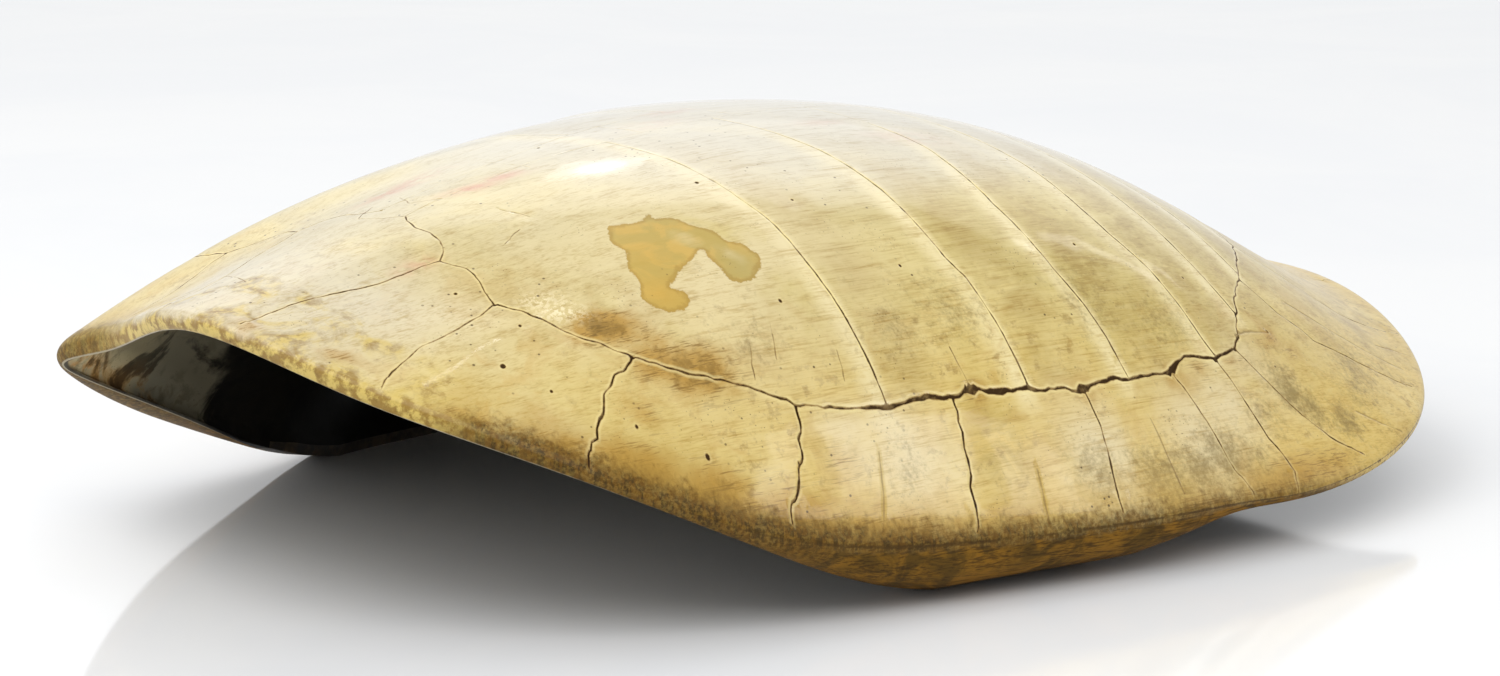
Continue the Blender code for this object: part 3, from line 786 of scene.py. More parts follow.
class ShellMesh:
    """Gathers points, faces and face materials, ring by ring."""

    def __init__(self):
        self.points = []
        self.faces = []
        self.slots = []
        self.count = 0

    def add(self, points):
        """Adds points, and returns their numbers."""
        start = self.count
        self.points.append(points)
        self.count += len(points)
        return list(range(start, self.count))

    def fill(self, numbers, faces, slot):
        """Adds faces, given as places in a list of point numbers."""
        self.faces += [[numbers[i] for i in face] for face in faces]
        self.slots += [slot] * len(faces)

    def join(self, upper, points, slots):
        """Adds a ring of points below an upper ring, and joins them. Returns the new ring."""
        lower = self.add(points)
        self.join_rings(upper, lower, slots)
        return lower

    def join_rings(self, upper, lower, slots):
        count = len(upper)
        for i in range(count):
            j = (i + 1) % count
            self.faces.append((upper[i], upper[j], lower[j], lower[i]))
        self.slots += [slots] * count if isinstance(slots, int) else slots


def add_dome(shell, rim, lines, pits, nearest, seam_depth):
    """Adds the dome, with its grooves and its rounding towards the keel. Returns the keel's ring."""
    plan, faces, ring = dome_plan(rim.keel[:, :2], lines, pits, nearest)
    height, share = dome_shape(*plan.T)
    distance, rows = nearest.read(plan)
    groove = rows[:, 3] * np.clip(1 - distance / np.maximum(rows[:, 2], 1e-6), 0, 1)
    # towards each dark seam the bone sinks a little, and deeper and from further off on the rim plates
    rim_plate = rise(share, RIM_PLATES_START, RIM_PLATES_FULL)
    sunk = (0.30 + 0.30 * rim_plate) * MM * bell(distance, (6 + 7 * rim_plate) * MM)
    sunk = sunk * rows[:, 4] * (share < SUNK_END)
    groove[ring] = 0
    sunk[ring] = 0
    share[ring] = 1.0
    out, up = rim.rounding.on_dome(*plan.T, share)
    outward = plan - (CROWN_X, 0)
    outward /= np.maximum(np.linalg.norm(outward, axis=1, keepdims=True), 1e-9)
    height += up - seam_depth * groove - sunk
    dome = shell.add(np.column_stack([plan + outward * out[:, None], height]))
    shell.fill(dome, faces, OUTSIDE)
    return [dome[i] for i in ring]


def add_roll(shell, rim, ring):
    """Adds the roll, which turns under from the keel like a quarter of an ellipse."""
    for row in range(1, ROLL_ROWS + 1):
        turn = row / ROLL_ROWS * math.pi / 2
        out, up = rim.rounding.on_roll(turn)
        ease = min(ROLL_EASE * (1 - row / ROLL_ROWS), 1)
        points = rim.keel.copy()
        points[:, :2] += rim.inward * (rim.reach * (1 - math.cos(turn)) - out * ease)[:, None]
        points[:, 2] += up * ease - rim.depth * math.sin(turn) ** ROLL_FULLNESS
        ring = shell.join(ring, points, OUTSIDE)
    return ring, points


def add_cut(shell, rim, ring, cut):
    """Adds the cut edge: broad and flat where the bridges were sawn through, and thin elsewhere."""
    sawn = rise(rim.depth, DEEP, DEEP + DEEP_RANGE)
    slots = [SAWN if share > 0.5 else INSIDE for share in sawn]
    inner = cut.copy()
    inner[:, :2] += rim.inward * (THIN_CUT_WIDTH * (1 - sawn) + SAWN_CUT_WIDTH * sawn)[:, None]
    inner[:, 2] += THIN_CUT_LEAN * rim.depth * (1 - sawn)
    side = inner.copy()
    side[:, :2] += rim.inward * SIDE_WIDTH
    side[:, 2] += THIN_SIDE_RISE * rim.depth * (1 - sawn) + SAWN_SIDE_RISE * sawn
    for points in (inner, side):
        ring = shell.join(ring, points, slots)
    return ring, side


def add_inner(shell, rim, ring, side):
    """Adds the curve that leads in from the cut edge, and the inner face."""
    corner, last = (inner_face(*rim.shrunk(share).T) for share in (INNER_CORNER, INNER_RING))
    for row in range(1, INNER_ROLL_ROWS):
        t = row / INNER_ROLL_ROWS
        points = (1 - t) ** 2 * side + 2 * t * (1 - t) * corner + t * t * last
        ring = shell.join(ring, points, INSIDE)
    plan = Plan(rim.shrunk(INNER_RING))
    plan.add(scattered(INNER_SPACING, INNER_FREE_END, centred=True))
    points, faces, inner_ring = plan.triangles()
    inner = shell.add(inner_face(*points.T))
    shell.join_rings(ring, [inner[i] for i in inner_ring], INSIDE)
    shell.fill(inner, faces, INSIDE)


def whole_shell(lines, pits, nearest, seam_depth):
    """The shell as one closed mesh, how many of its points are the dome's, its keel and its cut."""
    rim = Rim()
    shell = ShellMesh()
    ring = add_dome(shell, rim, lines, pits, nearest, seam_depth)
    dome_count = shell.count
    ring, cut = add_roll(shell, rim, ring)
    ring, side = add_cut(shell, rim, ring, cut)
    add_inner(shell, rim, ring, side)
    return shell, dome_count, rim.keel, cut


# ---------------------------------------------------------------- what the mesh tells its materials
def beside_costal_seams(points):
    """How near each plan point is to a costal seam's front side, and to its rear side, from 0 to 1."""
    out = np.abs(points[:, 1]) / HALF_WIDTH
    before, behind = np.zeros(len(points)), np.zeros(len(points))
    for seam in COSTAL_SEAMS:
        seam_x, seam_out = np.array(seam).T / 1000
        gap = (points[:, 0] - np.interp(out, seam_out, seam_x) * LENGTH) / MM
        inside = rise(out, seam_out[-1] + 0.03, seam_out[-1])
        # strongest 4 mm in front of the seam, and 20 mm behind it
        front = np.where(gap < 0, bell(gap + 4, 7), bell(gap, 2))
        rear = np.where(gap < 0, 0, bell(gap - 20, 15))
        before = np.maximum(before, front * inside)
        behind = np.maximum(behind, rear * inside)
    return before, behind


def write_marks(mesh, dome_count, keel, cut, nearest):
    """Stores on each point what the bone's material reads: distances in mm and soft patches."""
    points = np.empty(len(mesh.vertices) * 3)
    mesh.vertices.foreach_get("co", points)
    points = points.reshape(-1, 3)
    plan = points[:, :2]
    x_share, y_share = points[:, 0] / LENGTH, np.abs(points[:, 1]) / HALF_WIDTH
    distance, rows = nearest.read(plan)
    gap = distance - rows[:, 2]
    gap[dome_count:] = REACH_LIMIT
    stain = signed_distance(plan, stain_outline())
    trees = tree_of(keel), tree_of(cut)
    from_keel, from_cut = (np.array([tree.find(point)[2] for point in points]) for tree in trees)
    from_keel[dome_count:] *= -1
    before, behind = beside_costal_seams(plan)
    marks = {
        "gap": np.clip(gap, -REACH_LIMIT, REACH_LIMIT) / MM,
        "seam_dark": rows[:, 4],
        "seam_glow": rows[:, 5],
        "before_seam": before,
        "behind_seam": behind,
        "stain": np.clip(stain, -REACH_LIMIT, REACH_LIMIT) / MM,
        "out": dome_shape(*plan.T)[1],
        "keel": from_keel / MM,
        "from_cut": np.minimum(from_cut, REACH_LIMIT) / MM,
        "front": rise(x_share, *FRONT),
        "brow": rise(x_share, *BROW_ALONG) * rise(y_share, *BROW_ACROSS),
        "lip": rise(x_share, *LIP),
        "bridge": rise(x_share, *BRIDGE_FRONT) * rise(x_share, *BRIDGE_REAR),
        "crust": np.interp(x_share, *np.transpose(CRUST)),
    }
    for kind in PATCHES:
        marks[kind] = soft_patches(plan, kind)
    for name, values in marks.items():
        attribute = mesh.attributes.new(name, "FLOAT", "POINT")
        attribute.data.foreach_set("value", values.astype(np.float32))


# ---------------------------------------------------------------- materials
def tone(red, green, blue):
    """A screen colour, 0 to 255, as the linear colour that a shader takes."""
    parts = [part / 255 for part in (red, green, blue)]
    linear = [part / 12.92 if part <= 0.04045 else ((part + 0.055) / 1.055) ** 2.4 for part in parts]
    return (*linear, 1.0)


class Field:
    """A value in a node tree, which is added, subtracted and multiplied like a number."""

    def __init__(self, wiring, socket):
        self.wiring = wiring
        self.socket = socket

    def __add__(self, other):
        return self.wiring.maths("ADD", self, other)

    def __sub__(self, other):
        return self.wiring.maths("SUBTRACT", self, other)

    def __rsub__(self, other):
        return self.wiring.maths("SUBTRACT", other, self)

    def __mul__(self, other):
        return self.wiring.maths("MULTIPLY", self, other)

    __radd__ = __add__
    __rmul__ = __mul__

    def clamped(self):
        """The same value, kept from 0 to 1."""
        return self.wiring.maths("ADD", self, 0.0, clamp=True)

    def swing(self, width):
        """A noise from 0 to 1, as a shift of up to half a width to either side."""
        return width * self - 0.5 * width

    def ramp(self, start, end, low=0.0, high=1.0):
        """Eases from low, where this value is start, to high, where it is end."""
        node = self.wiring.node("ShaderNodeMapRange", interpolation_type="SMOOTHSTEP")
        for name, setting in (("From Min", start), ("From Max", end), ("To Min", low), ("To Max", high)):
            node.inputs[name].default_value = setting
        self.wiring.plug(node.inputs["Value"], self)
        return Field(self.wiring, node.outputs["Result"])


class Wiring:
    """Adds nodes to one node tree, and wires each one's inputs as it is added."""

    def __init__(self, tree):
        self.tree = tree

    def plug(self, socket, value):
        """Links a field or a socket to this socket, or sets the socket to a constant."""
        value = getattr(value, "socket", value)
        if isinstance(value, bpy.types.NodeSocket):
            self.tree.links.new(value, socket)
        else:
            socket.default_value = value

    def node(self, kind, **settings):
        node = self.tree.nodes.new(kind)
        for name, value in settings.items():
            setattr(node, name, value)
        return node

    def mark(self, name):
        """A value stored on the mesh's points."""
        return Field(self, self.node("ShaderNodeAttribute", attribute_name=name).outputs["Fac"])

    def maths(self, operation, *values, clamp=False):
        node = self.node("ShaderNodeMath", operation=operation, use_clamp=clamp)
        for socket, value in zip(node.inputs, values):
            self.plug(socket, value)
        return Field(self, node.outputs[0])

    def blend(self, factor, under, over, blend_type="MIX"):
        """Lays colour over on colour under by factor. A colour is a field, or a screen colour."""
        node = self.node("ShaderNodeMix", data_type="RGBA", blend_type=blend_type, clamp_factor=True)
        self.plug(node.inputs["Factor"], factor)
        for name, colour in (("A", under), ("B", over)):
            self.plug(node.inputs[name], colour if isinstance(colour, Field) else tone(*colour))
        return Field(self, node.outputs["Result"])

    def mapped(self, vector, scale=(1, 1, 1), turn=(0, 0, 0), shift=(0, 0, 0)):
        """A vector, stretched by scale, turned and shifted."""
        node = self.node("ShaderNodeMapping")
        settings = {"Vector": vector, "Scale": scale, "Rotation": turn, "Location": shift}
        for name, value in settings.items():
            self.plug(node.inputs[name], value)
        return node.outputs[0]

    def noise(self, vector, scale, detail=3.0, roughness=0.55, distortion=0.0):
        node = self.node("ShaderNodeTexNoise", noise_dimensions="3D")
        settings = {"Vector": vector, "Scale": scale, "Detail": detail, "Roughness": roughness,
                    "Distortion": distortion}
        for name, value in settings.items():
            self.plug(node.inputs[name], value)
        return Field(self, node.outputs["Fac"])

    def dots(self, vector, scale):
        """Distance to the nearest of many scattered points."""
        node = self.node("ShaderNodeTexVoronoi", feature="F1")
        self.plug(node.inputs["Vector"], vector)
        self.plug(node.inputs["Scale"], scale)
        return Field(self, node.outputs["Distance"])


class Paint:
    """A colour built up in layers."""

    def __init__(self, wiring, colour):
        self.wiring = wiring
        self.colour = colour

    def lay(self, mask, colour, blend_type="MIX"):
        """Lays a colour over the others so far by this mask."""
        self.colour = self.wiring.blend(mask, self.colour, colour, blend_type)


GRAINS = ("Streaks", "Pores", "Mottle", "Specks", "Height")


def bone_grain_group():
    """Fine streaks along the shell, dark pores and small mottling, as masks and a height."""
    tree = bpy.data.node_groups.new("Bone grain", "ShaderNodeTree")
    tree.interface.new_socket(name="Vector", in_out="INPUT", socket_type="NodeSocketVector")
    tree.interface.new_socket(name="Coarseness", in_out="INPUT", socket_type="NodeSocketFloat")
    for name in GRAINS:
        tree.interface.new_socket(name=name, in_out="OUTPUT", socket_type="NodeSocketFloat")
    w = Wiring(tree)
    given = w.node("NodeGroupInput").outputs
    sized = w.node("ShaderNodeVectorMath", operation="SCALE")
    w.plug(sized.inputs[0], given["Vector"])
    w.plug(sized.inputs["Scale"], given["Coarseness"])
    place = sized.outputs[0]
    slanted = w.mapped(place, turn=(0, 0, math.radians(STREAK_TURN)))
    long_streaks = w.noise(w.mapped(slanted, (16, 240, 340)), 1.0, 4, 0.6)
    fine_streaks = w.noise(w.mapped(slanted, (70, 1100, 1300)), 1.0, 3, 0.6)
    streaks = 0.45 * long_streaks + 0.55 * fine_streaks
    mottle = w.noise(place, 95, 5, 0.65, 0.4)
    pores = w.dots(place, 420).ramp(0.20, 0.06) * w.noise(place, 34, 3, 0.6).ramp(0.52, 0.66)
    specks = w.dots(w.mapped(place, shift=(0.31, 0.17, 0.08)), 150).ramp(0.13, 0.07)
    specks = specks * w.noise(place, 15, 3, 0.6).ramp(0.50, 0.60)
    height = 0.55 * streaks + 0.25 * w.noise(place, 900, 3, 0.7) - 0.6 * pores
    results = w.node("NodeGroupOutput").inputs
    for name, value in zip(GRAINS, (streaks, pores, mottle, specks, height)):
        w.plug(results[name], value)
    return tree


def use_grain(w, tree, place, coarseness=1.0):
    """The bone grain's outputs at place, in the order of GRAINS."""
    node = w.node("ShaderNodeGroup", node_tree=tree)
    w.plug(node.inputs["Vector"], place)
    w.plug(node.inputs["Coarseness"], coarseness)
    return [Field(w, node.outputs[name]) for name in GRAINS]


def new_material(name):
    """A material, its wiring, its shader, and the places on the object."""
    material = bpy.data.materials.new(name)
    material.use_nodes = True
    w = Wiring(material.node_tree)
    place = w.node("ShaderNodeTexCoord").outputs["Object"]
    return material, w, material.node_tree.nodes["Principled BSDF"], place


def wire_bone(w, shader, colour, roughness, height, strength, depth):
    """Plugs in a bone's colour and roughness, and its grain as a bump."""
    bump = w.node("ShaderNodeBump")
    w.plug(bump.inputs["Strength"], strength)
    w.plug(bump.inputs["Distance"], depth)
    w.plug(bump.inputs["Height"], height)
    w.plug(shader.inputs["Base Color"], colour)
    w.plug(shader.inputs["Roughness"], roughness)
    w.plug(shader.inputs["Normal"], bump.outputs["Normal"])


class OuterFields:
    """The noises and the stored marks that the layers of the outer face share."""

    def __init__(self, w, place, grain):
        self.place = place
        self.streaks, self.pores, self.mottle, self.specks, self.height = use_grain(w, grain, place)
        self.broad = w.noise(place, 5.5, 3, 0.55, 0.3)
        self.cloud = w.noise(w.mapped(place, shift=(3.1, 1.7, 0.4)), 15, 4, 0.6, 0.5)
        self.marble = w.noise(w.mapped(place, shift=(7.3, 2.2, 1.1)), 42, 5, 0.62, 1.0)
        self.small = w.noise(place, 150, 4, 0.65)
        self.fine = w.noise(place, 420, 4, 0.7)
        self.out, self.keel, self.front = (w.mark(name) for name in ("out", "keel", "front"))


def lay_bone_tones(w, f, paint, colours):
    """Straw below the ivory ridge and ochre near the rim, with the shading of each costal plate."""
    paint.lay((f.out + f.broad.swing(0.40) - 0.42 * f.front).ramp(0.22, 0.62), colours["straw"])
    ochre = (f.out + f.cloud.swing(0.30)).ramp(0.68, 0.94) * (1.0 - 0.75 * f.front)
    paint.lay(ochre, colours["ochre"])
    # each costal is darker behind its front seam, and pale before the next one
    behind = w.mark("behind_seam") * f.out.ramp(0.15, 0.45) * f.marble.ramp(0.20, 0.60)
    paint.lay(0.75 * behind, (184, 158, 88))
    before = w.mark("before_seam") * f.out.ramp(0.10, 0.35) * f.marble.ramp(0.15, 0.45)
    paint.lay(0.95 * before, (240, 223, 168))


def lay_clouds(w, f, paint):
    """Clouds of cream, brown, tan, olive and pink, pale patches partly painted as the side light's
    reflection, and bone bleached at the front and on the ridge.
    """
    paint.lay(0.40 * f.cloud.ramp(0.50, 0.70), (230, 212, 150))
    spots = f.small.ramp(0.54, 0.66) * f.cloud.ramp(0.42, 0.60) * f.out.ramp(0.60, 0.85)
    paint.lay(0.45 * spots, (150, 112, 44))
    paint.lay(0.32 * f.marble.ramp(0.50, 0.66) * f.out.ramp(0.62, 0.82), (194, 152, 66))
    olive = w.mark("olive") + 0.30 * f.broad.ramp(0.50, 0.68)
    paint.lay(0.60 * olive * f.marble.ramp(0.28, 0.62), (168, 144, 74))
    # pale patches: paler bone, and partly a painted reflection of the side light on the rim plates
    paint.lay(0.85 * w.mark("pale_and_sheen") * f.cloud.ramp(0.22, 0.55), (226, 210, 168))
    paint.lay(1.3 * w.mark("pink") * f.mottle.ramp(0.35, 0.55), (204, 150, 112))
    high = (f.out + f.broad.swing(0.16)).ramp(0.54, 0.38)
    bleached = w.maths("MAXIMUM", 0.65 * w.mark("brow"), 0.40 * high)
    paint.lay(bleached * f.marble.ramp(0.20, 0.45, 0.6, 1.0), (214, 207, 190))


def lay_wear(w, f, paint):
    """Fine streaks along the shell, grime, and brown patches torn by noise."""
    shade = f.streaks.swing(1.10) + f.mottle.swing(0.35)
    paint.lay((-3.2 * shade).clamped(), (206, 186, 136), "MULTIPLY")
    paint.lay(0.5 * (1.6 * shade).clamped(), (240, 226, 178))
    grime = w.mark("grime") + 1.4 * (f.small + f.fine) - 1.45
    paint.lay(0.75 * grime.ramp(0.0, 1.1), (128, 106, 52))
    brown = w.mark("brown")
    torn = brown + 2.0 * (0.5 * f.marble + 0.7 * f.streaks) - 1.20
    paint.lay(0.80 * torn.ramp(0.15, 0.95), (178, 134, 48))
    paint.lay(0.50 * (brown + 1.9 * f.small - 1.05).ramp(0.60, 1.15), (106, 80, 30))
    paint.lay(0.55 * brown.ramp(0.15, 0.6) * f.streaks.ramp(0.52, 0.60), (104, 78, 30))
    worn = w.mark("worn") * w.noise(f.place, 420, 3, 0.7).ramp(0.47, 0.56)
    paint.lay(worn, (240, 226, 184))


def lay_keel(w, f, paint):
    """A mustard cut edge, the dark crust above the keel, and the brown roll where the bridge was."""
    bridge, crusted, from_cut = (w.mark(name) for name in ("bridge", "crust", "from_cut"))
    comb = w.noise(w.mapped(f.place, (420, 420, 50)), 1.0, 3, 0.6)
    edge = from_cut + f.marble.swing(12.0) - 5.0 * w.mark("lip")
    mustard = w.blend(f.small.ramp(0.42, 0.58), (206, 180, 96), (146, 114, 46))
    paint.lay(0.90 * edge.ramp(5.0, 1.0), mustard)
    golden = (f.keel + f.cloud.swing(60.0)).ramp(32.0, 6.0)
    paint.lay(0.60 * golden * crusted, (176, 138, 56))
    crust = (f.keel + f.small.swing(18.0) + comb.swing(18.0) - 11.0 * crusted).ramp(7.0, -7.0)
    crust = crust * crusted.ramp(0.0, 0.6)
    browns = w.blend(comb.ramp(0.42, 0.58), (92, 62, 18), (38, 24, 8))
    paint.lay(0.90 * crust * f.fine.ramp(0.36, 0.58, 0.70, 1.0), browns)
    flecks = w.noise(f.place, 330, 4, 0.7).ramp(0.50, 0.62) * f.cloud.ramp(0.30, 0.45)
    paint.lay(flecks * f.keel.ramp(3.2, 0.0) * (0.80 - 0.6 * f.front), (92, 66, 20))
    line = (w.maths("ABSOLUTE", f.keel) + f.small.swing(2.4)).ramp(1.5, 0.3)
    paint.lay(0.75 * line * f.cloud.ramp(0.30, 0.50) * (1.0 - f.front), (66, 46, 16))
    under = (f.keel + f.small.swing(9.0)).ramp(0.0, -5.0)
    roll = w.blend(f.marble.ramp(0.40, 0.60), (92, 68, 22), (138, 98, 28))
    roll = w.blend(0.70 * f.streaks.ramp(0.46, 0.58), roll, (54, 38, 14))
    paint.lay(under * bridge, roll)
    thin_edge = (from_cut + f.small.swing(1.2)).ramp(1.4, 0.6)
    paint.lay(thin_edge * (0.95 - 0.8 * bridge), (172, 162, 136))
    return crust, under, bridge


def lay_stain(w, f, paint, colour):
    """The old stain on the first left costal, mottled and darker round its rim, and then the pores."""
    stain = w.mark("stain") + w.noise(f.place, 75, 5, 0.72).swing(9.0)
    mixed = Paint(w, colour)
    mixed.lay(f.marble.ramp(0.40, 0.58), (184, 158, 76))
    mixed.lay(0.6 * w.mark("amber"), (204, 160, 62))
    mixed.lay(0.9 * w.mark("moss"), (180, 160, 90))
    paint.lay(stain.ramp(0.3, -0.3) * (0.92 - 0.9 * w.mark("nick")), mixed.colour)
    paint.lay(0.50 * stain.ramp(0.6, -0.2) * stain.ramp(-2.6, -0.4), (160, 126, 52))
    paint.lay(0.70 * f.pores, (104, 76, 34))
    paint.lay(0.85 * f.specks, (78, 58, 28))


def lay_seams(w, f, paint, hidden):
    """The seams: pale sides, apart from where they are hidden, a brown lip and a dark core."""
    dark = w.mark("seam_dark")
    gap = w.mark("gap") + f.small.swing(1.0)
    glow = w.mark("seam_glow") * gap.ramp(1.8, 0.4) * f.marble.ramp(0.38, 0.56)
    paint.lay(1.2 * glow * (1.0 - hidden), (242, 224, 158))
    paint.lay(0.80 * dark * gap.ramp(0.45, 0.05), (134, 98, 38))
    core = dark * gap.ramp(0.10, -0.12) * f.mottle.ramp(0.30, 0.50, 0.45, 1.0)
    paint.lay(core, (62, 42, 16))
    return core


def polished_bone(grain, colours):
    """The outer face: ivory on the ridge, straw on the flanks, ochre and brown towards the keel."""
    material, w, shader, place = new_material("polished_bone")
    f = OuterFields(w, place, grain)
    paint = Paint(w, colours["ivory"])
    lay_bone_tones(w, f, paint, colours)
    lay_clouds(w, f, paint)
    lay_wear(w, f, paint)
    crust, under, bridge = lay_keel(w, f, paint)
    lay_stain(w, f, paint, colours["stain"])
    core = lay_seams(w, f, paint, w.maths("MAXIMUM", crust, under))

    dull = (under * (0.6 * bridge + 0.35) + core).clamped()
    dull = w.maths("MAXIMUM", dull, 0.8 * crust)
    w.plug(shader.inputs["Coat Weight"], f.out.ramp(0.50, 0.80, 0.9, 0.45) * (1.0 - 0.95 * dull))
    shader.inputs["Coat Roughness"].default_value = 0.07
    shader.inputs["Coat IOR"].default_value = 1.5
    shader.inputs["Specular IOR Level"].default_value = 0.1
    rough = (0.14 * f.mottle + 0.30 + 0.35 * w.maths("MAXIMUM", under, core)).clamped()
    wire_bone(w, shader, paint.colour, rough, f.height, 0.06, 0.5 * MM)
    return material


def sawn_bone(grain):
    """The cut edge where the bridges were sawn through: dull brown, open-pored bone."""
    material, w, shader, place = new_material("sawn_bone")
    _, pores, mottle, _, height = use_grain(w, grain, place, 1.6)
    small = w.noise(place, 120, 4, 0.65)
    paint = Paint(w, (44, 36, 24))
    paint.lay(small.ramp(0.40, 0.62), (74, 62, 42))
    paint.lay(pores, (66, 46, 24))
    paint.lay(0.5 * mottle.ramp(0.55, 0.68), (96, 68, 34))
    wire_bone(w, shader, paint.colour, 0.3 * small + 0.45, height, 0.5, 1.0 * MM)
    return material


ARCH_SHADOW = (-0.215, -0.197)         # metres along the shell, where the painted shadow of the front arch starts and where it is full


def inner_bone(grain):
    """The inner face: dull grey-brown bone, orange and dark patches, painted shade away from the rim and
    painted shadow further back.
    """
    material, w, shader, place = new_material("inner_bone")
    _, pores, mottle, _, height = use_grain(w, grain, place, 0.8)
    broad = w.noise(place, 9, 4, 0.6, 0.8)
    patchy = w.noise(w.mapped(place, shift=(4.0, 8.0, 2.0)), 26, 5, 0.6, 1.0)
    out = w.mark("out")
    paint = Paint(w, (158, 152, 130))
    paint.lay(broad.ramp(0.40, 0.58), (214, 198, 154))
    low = (out + patchy.swing(0.16)).ramp(0.93, 0.97)
    paint.lay(0.85 * patchy.ramp(0.44, 0.56) * low, (226, 166, 84))
    paint.lay(0.5 * mottle.ramp(0.50, 0.64), (80, 66, 44))
    paint.lay(0.8 * pores, (40, 30, 18))
    # painted shade: away from the rim the inner face turns darker and patchy dark, as the dome shuts out
    # the light
    paint.lay(0.7 * out.ramp(0.95, 0.91), (104, 97, 76))
    paint.lay(0.80 * patchy.ramp(0.50, 0.60) * out.ramp(0.985, 0.95), (34, 30, 22))
    paint.lay(0.90 * w.mark("from_cut").ramp(3.0, 1.5), (26, 21, 14))
    # painted shadow: behind the front part the inner face is painted nearly black, as the front arch's
    # shadow
    axes = w.node("ShaderNodeSeparateXYZ")
    w.plug(axes.inputs[0], place)
    deep = Field(w, axes.outputs["X"]) + patchy.swing(0.06)
    paint.lay(0.97 * deep.ramp(*ARCH_SHADOW), (12, 10, 7))
    shader.inputs["Specular IOR Level"].default_value = 0.15
    wire_bone(w, shader, paint.colour, 0.25 * broad + 0.5, height, 0.35, 1.0 * MM)
    return material


def table_finish():
    """Glossy white tabletop with faint smears."""
    material, w, shader, place = new_material("white_tabletop")
    smears = w.noise(place, 2.2, 4, 0.6, 0.8)
    white = w.blend(smears.ramp(0.3, 0.7), (238, 239, 241), (243, 243, 243))
    w.plug(shader.inputs["Base Color"], white)
    w.plug(shader.inputs["Roughness"], 0.06 * smears + 0.03)
    shader.inputs["IOR"].default_value = 1.4
    return material


# ---------------------------------------------------------------- settings a user can change
BONE_COLOURS = ("ivory", "straw", "ochre", "stain")


def screen_colour(name, where, default):
    """A setting for a bone colour."""
    description = f"Bone colour {where}, as a screen colour from 0 to 255"
    return bpy.props.FloatVectorProperty(
        name=name, description=description, default=default, min=0, max=255, size=3)


class ShellSettings(bpy.types.PropertyGroup):
    """Sizes and colours of the shell's finish."""

    seam_depth: bpy.props.FloatProperty(
        name="Seam Depth", description="How deep the seams are, against the worn shell",
        default=1.0, min=0.0, max=2.0, subtype="FACTOR")
    ivory: screen_colour("Ridge", "on the ridge", (204, 194, 166))
    straw: screen_colour("Flank", "half way down", (207, 187, 117))
    ochre: screen_colour("Rim", "of the rim plates", (220, 190, 106))
    stain: screen_colour("Stain", "of the old stain", (202, 166, 78))


class StageSettings(bpy.types.PropertyGroup):
    """Sizes and strengths of the table and the lights."""

    table_size: bpy.props.FloatProperty(
        name="Table Size", description="Side of the square tabletop",
        default=16.0, min=2.0, unit="LENGTH")
    light: bpy.props.FloatProperty(
        name="Light", description="Strength of all the studio lights together",
        default=1.0, min=0.0, max=4.0, subtype="FACTOR")
    surround: bpy.props.FloatProperty(
        name="Surround", description="Brightness of the white room around the table",
        default=0.52, min=0.0, max=2.0)


# ---------------------------------------------------------------- camera and lights
CAMERA_AZIMUTH = -0.8591        # radians round from looking along +Y
CAMERA_ELEVATION = 0.1873
CAMERA_ROLL = 0.0040
CAMERA_DISTANCE = 1.9778
CAMERA_AIM = (0.0042, 0.077)    # the aim's distance to the right of, and above, the origin
CAMERA_LENS = 88.67

ROOM_WHITE = (0.97, 0.985, 1.0, 1.0)
# Soft lights: turn from the camera's view direction, elevation and roll in degrees; distance, width and
# height in metres; radiance.
SOFT_LIGHTS = (
    ("back_panel", -8, 22.0, -8, 3.4, 5.0, 3.3, 0.42),
    ("back_panel_high", -4, 32.5, -10, 3.4, 4.4, 2.0, 0.22),
    ("back_panel_upper", -4, 38.9, -10, 3.4, 4.4, 1.2, 0.20),
    ("back_panel_top", -4, 43.0, -10, 3.4, 4.4, 0.70, 0.26),
    ("front_high", 180, 50.0, 0, 3.0, 3.6, 2.0, 1.8),
    ("left_low", 105, 24.0, 0, 3.0, 3.4, 1.4, 1.6),
    ("left_high", 110, 55.0, 0, 3.0, 2.6, 1.8, 2.0),
    ("right_low", -100, 24.0, 0, 3.0, 3.4, 1.4, 0.6),
    ("side_box", -102.5, 36.0, -35, 2.67, 0.13, 0.56, 4.5),
    ("spark_left", 5.3, 33.2, -8, 2.52, 0.05, 0.11, 3.5),
    ("spark_left_glow", 5.3, 33.2, -8, 2.52, 0.10, 0.20, 1.8),
    ("spark_left_halo", 5.3, 33.2, -8, 2.52, 0.18, 0.30, 0.8),
    ("spark_front", -15.2, 78.0, -37, 2.53, 0.06, 0.04, 9.0),
    ("spark_seams", -47.1, 36.0, 0, 2.66, 0.10, 0.60, 2.0),
)
SMALLEST_PANEL = 0.3            # metres; smaller lights are round


def light_direction(turn, elevation):
    """Unit vector towards a light, turned from the camera's view direction."""
    angle = math.atan2(math.cos(CAMERA_AZIMUTH), -math.sin(CAMERA_AZIMUTH)) + math.radians(turn)
    height = math.radians(elevation)
    across = math.cos(height)
    return Vector((math.cos(angle) * across, math.sin(angle) * across, math.sin(height)))


def add_soft_light(name, turn, elevation, roll, distance, width, height, radiance, strength):
    """A soft light, aimed at the shell: rectangular, or round where it is small."""
    data = bpy.data.lights.new(name, "AREA")
    data.shape = "ELLIPSE" if max(width, height) < SMALLEST_PANEL else "RECTANGLE"
    data.size, data.size_y = width, height
    data.energy = radiance * math.pi * width * height * strength
    lamp = bpy.data.objects.new(name, data)
    direction = light_direction(turn, elevation)
    lamp.location = direction * distance + Vector((0, 0, HEIGHT / 2))
    lamp.rotation_mode = "QUATERNION"
    facing = direction.to_track_quat("Z", "Y")
    lamp.rotation_quaternion = facing @ Quaternion((0, 0, 1), math.radians(roll))
    lamp.visible_camera = False
    bpy.context.scene.collection.objects.link(lamp)


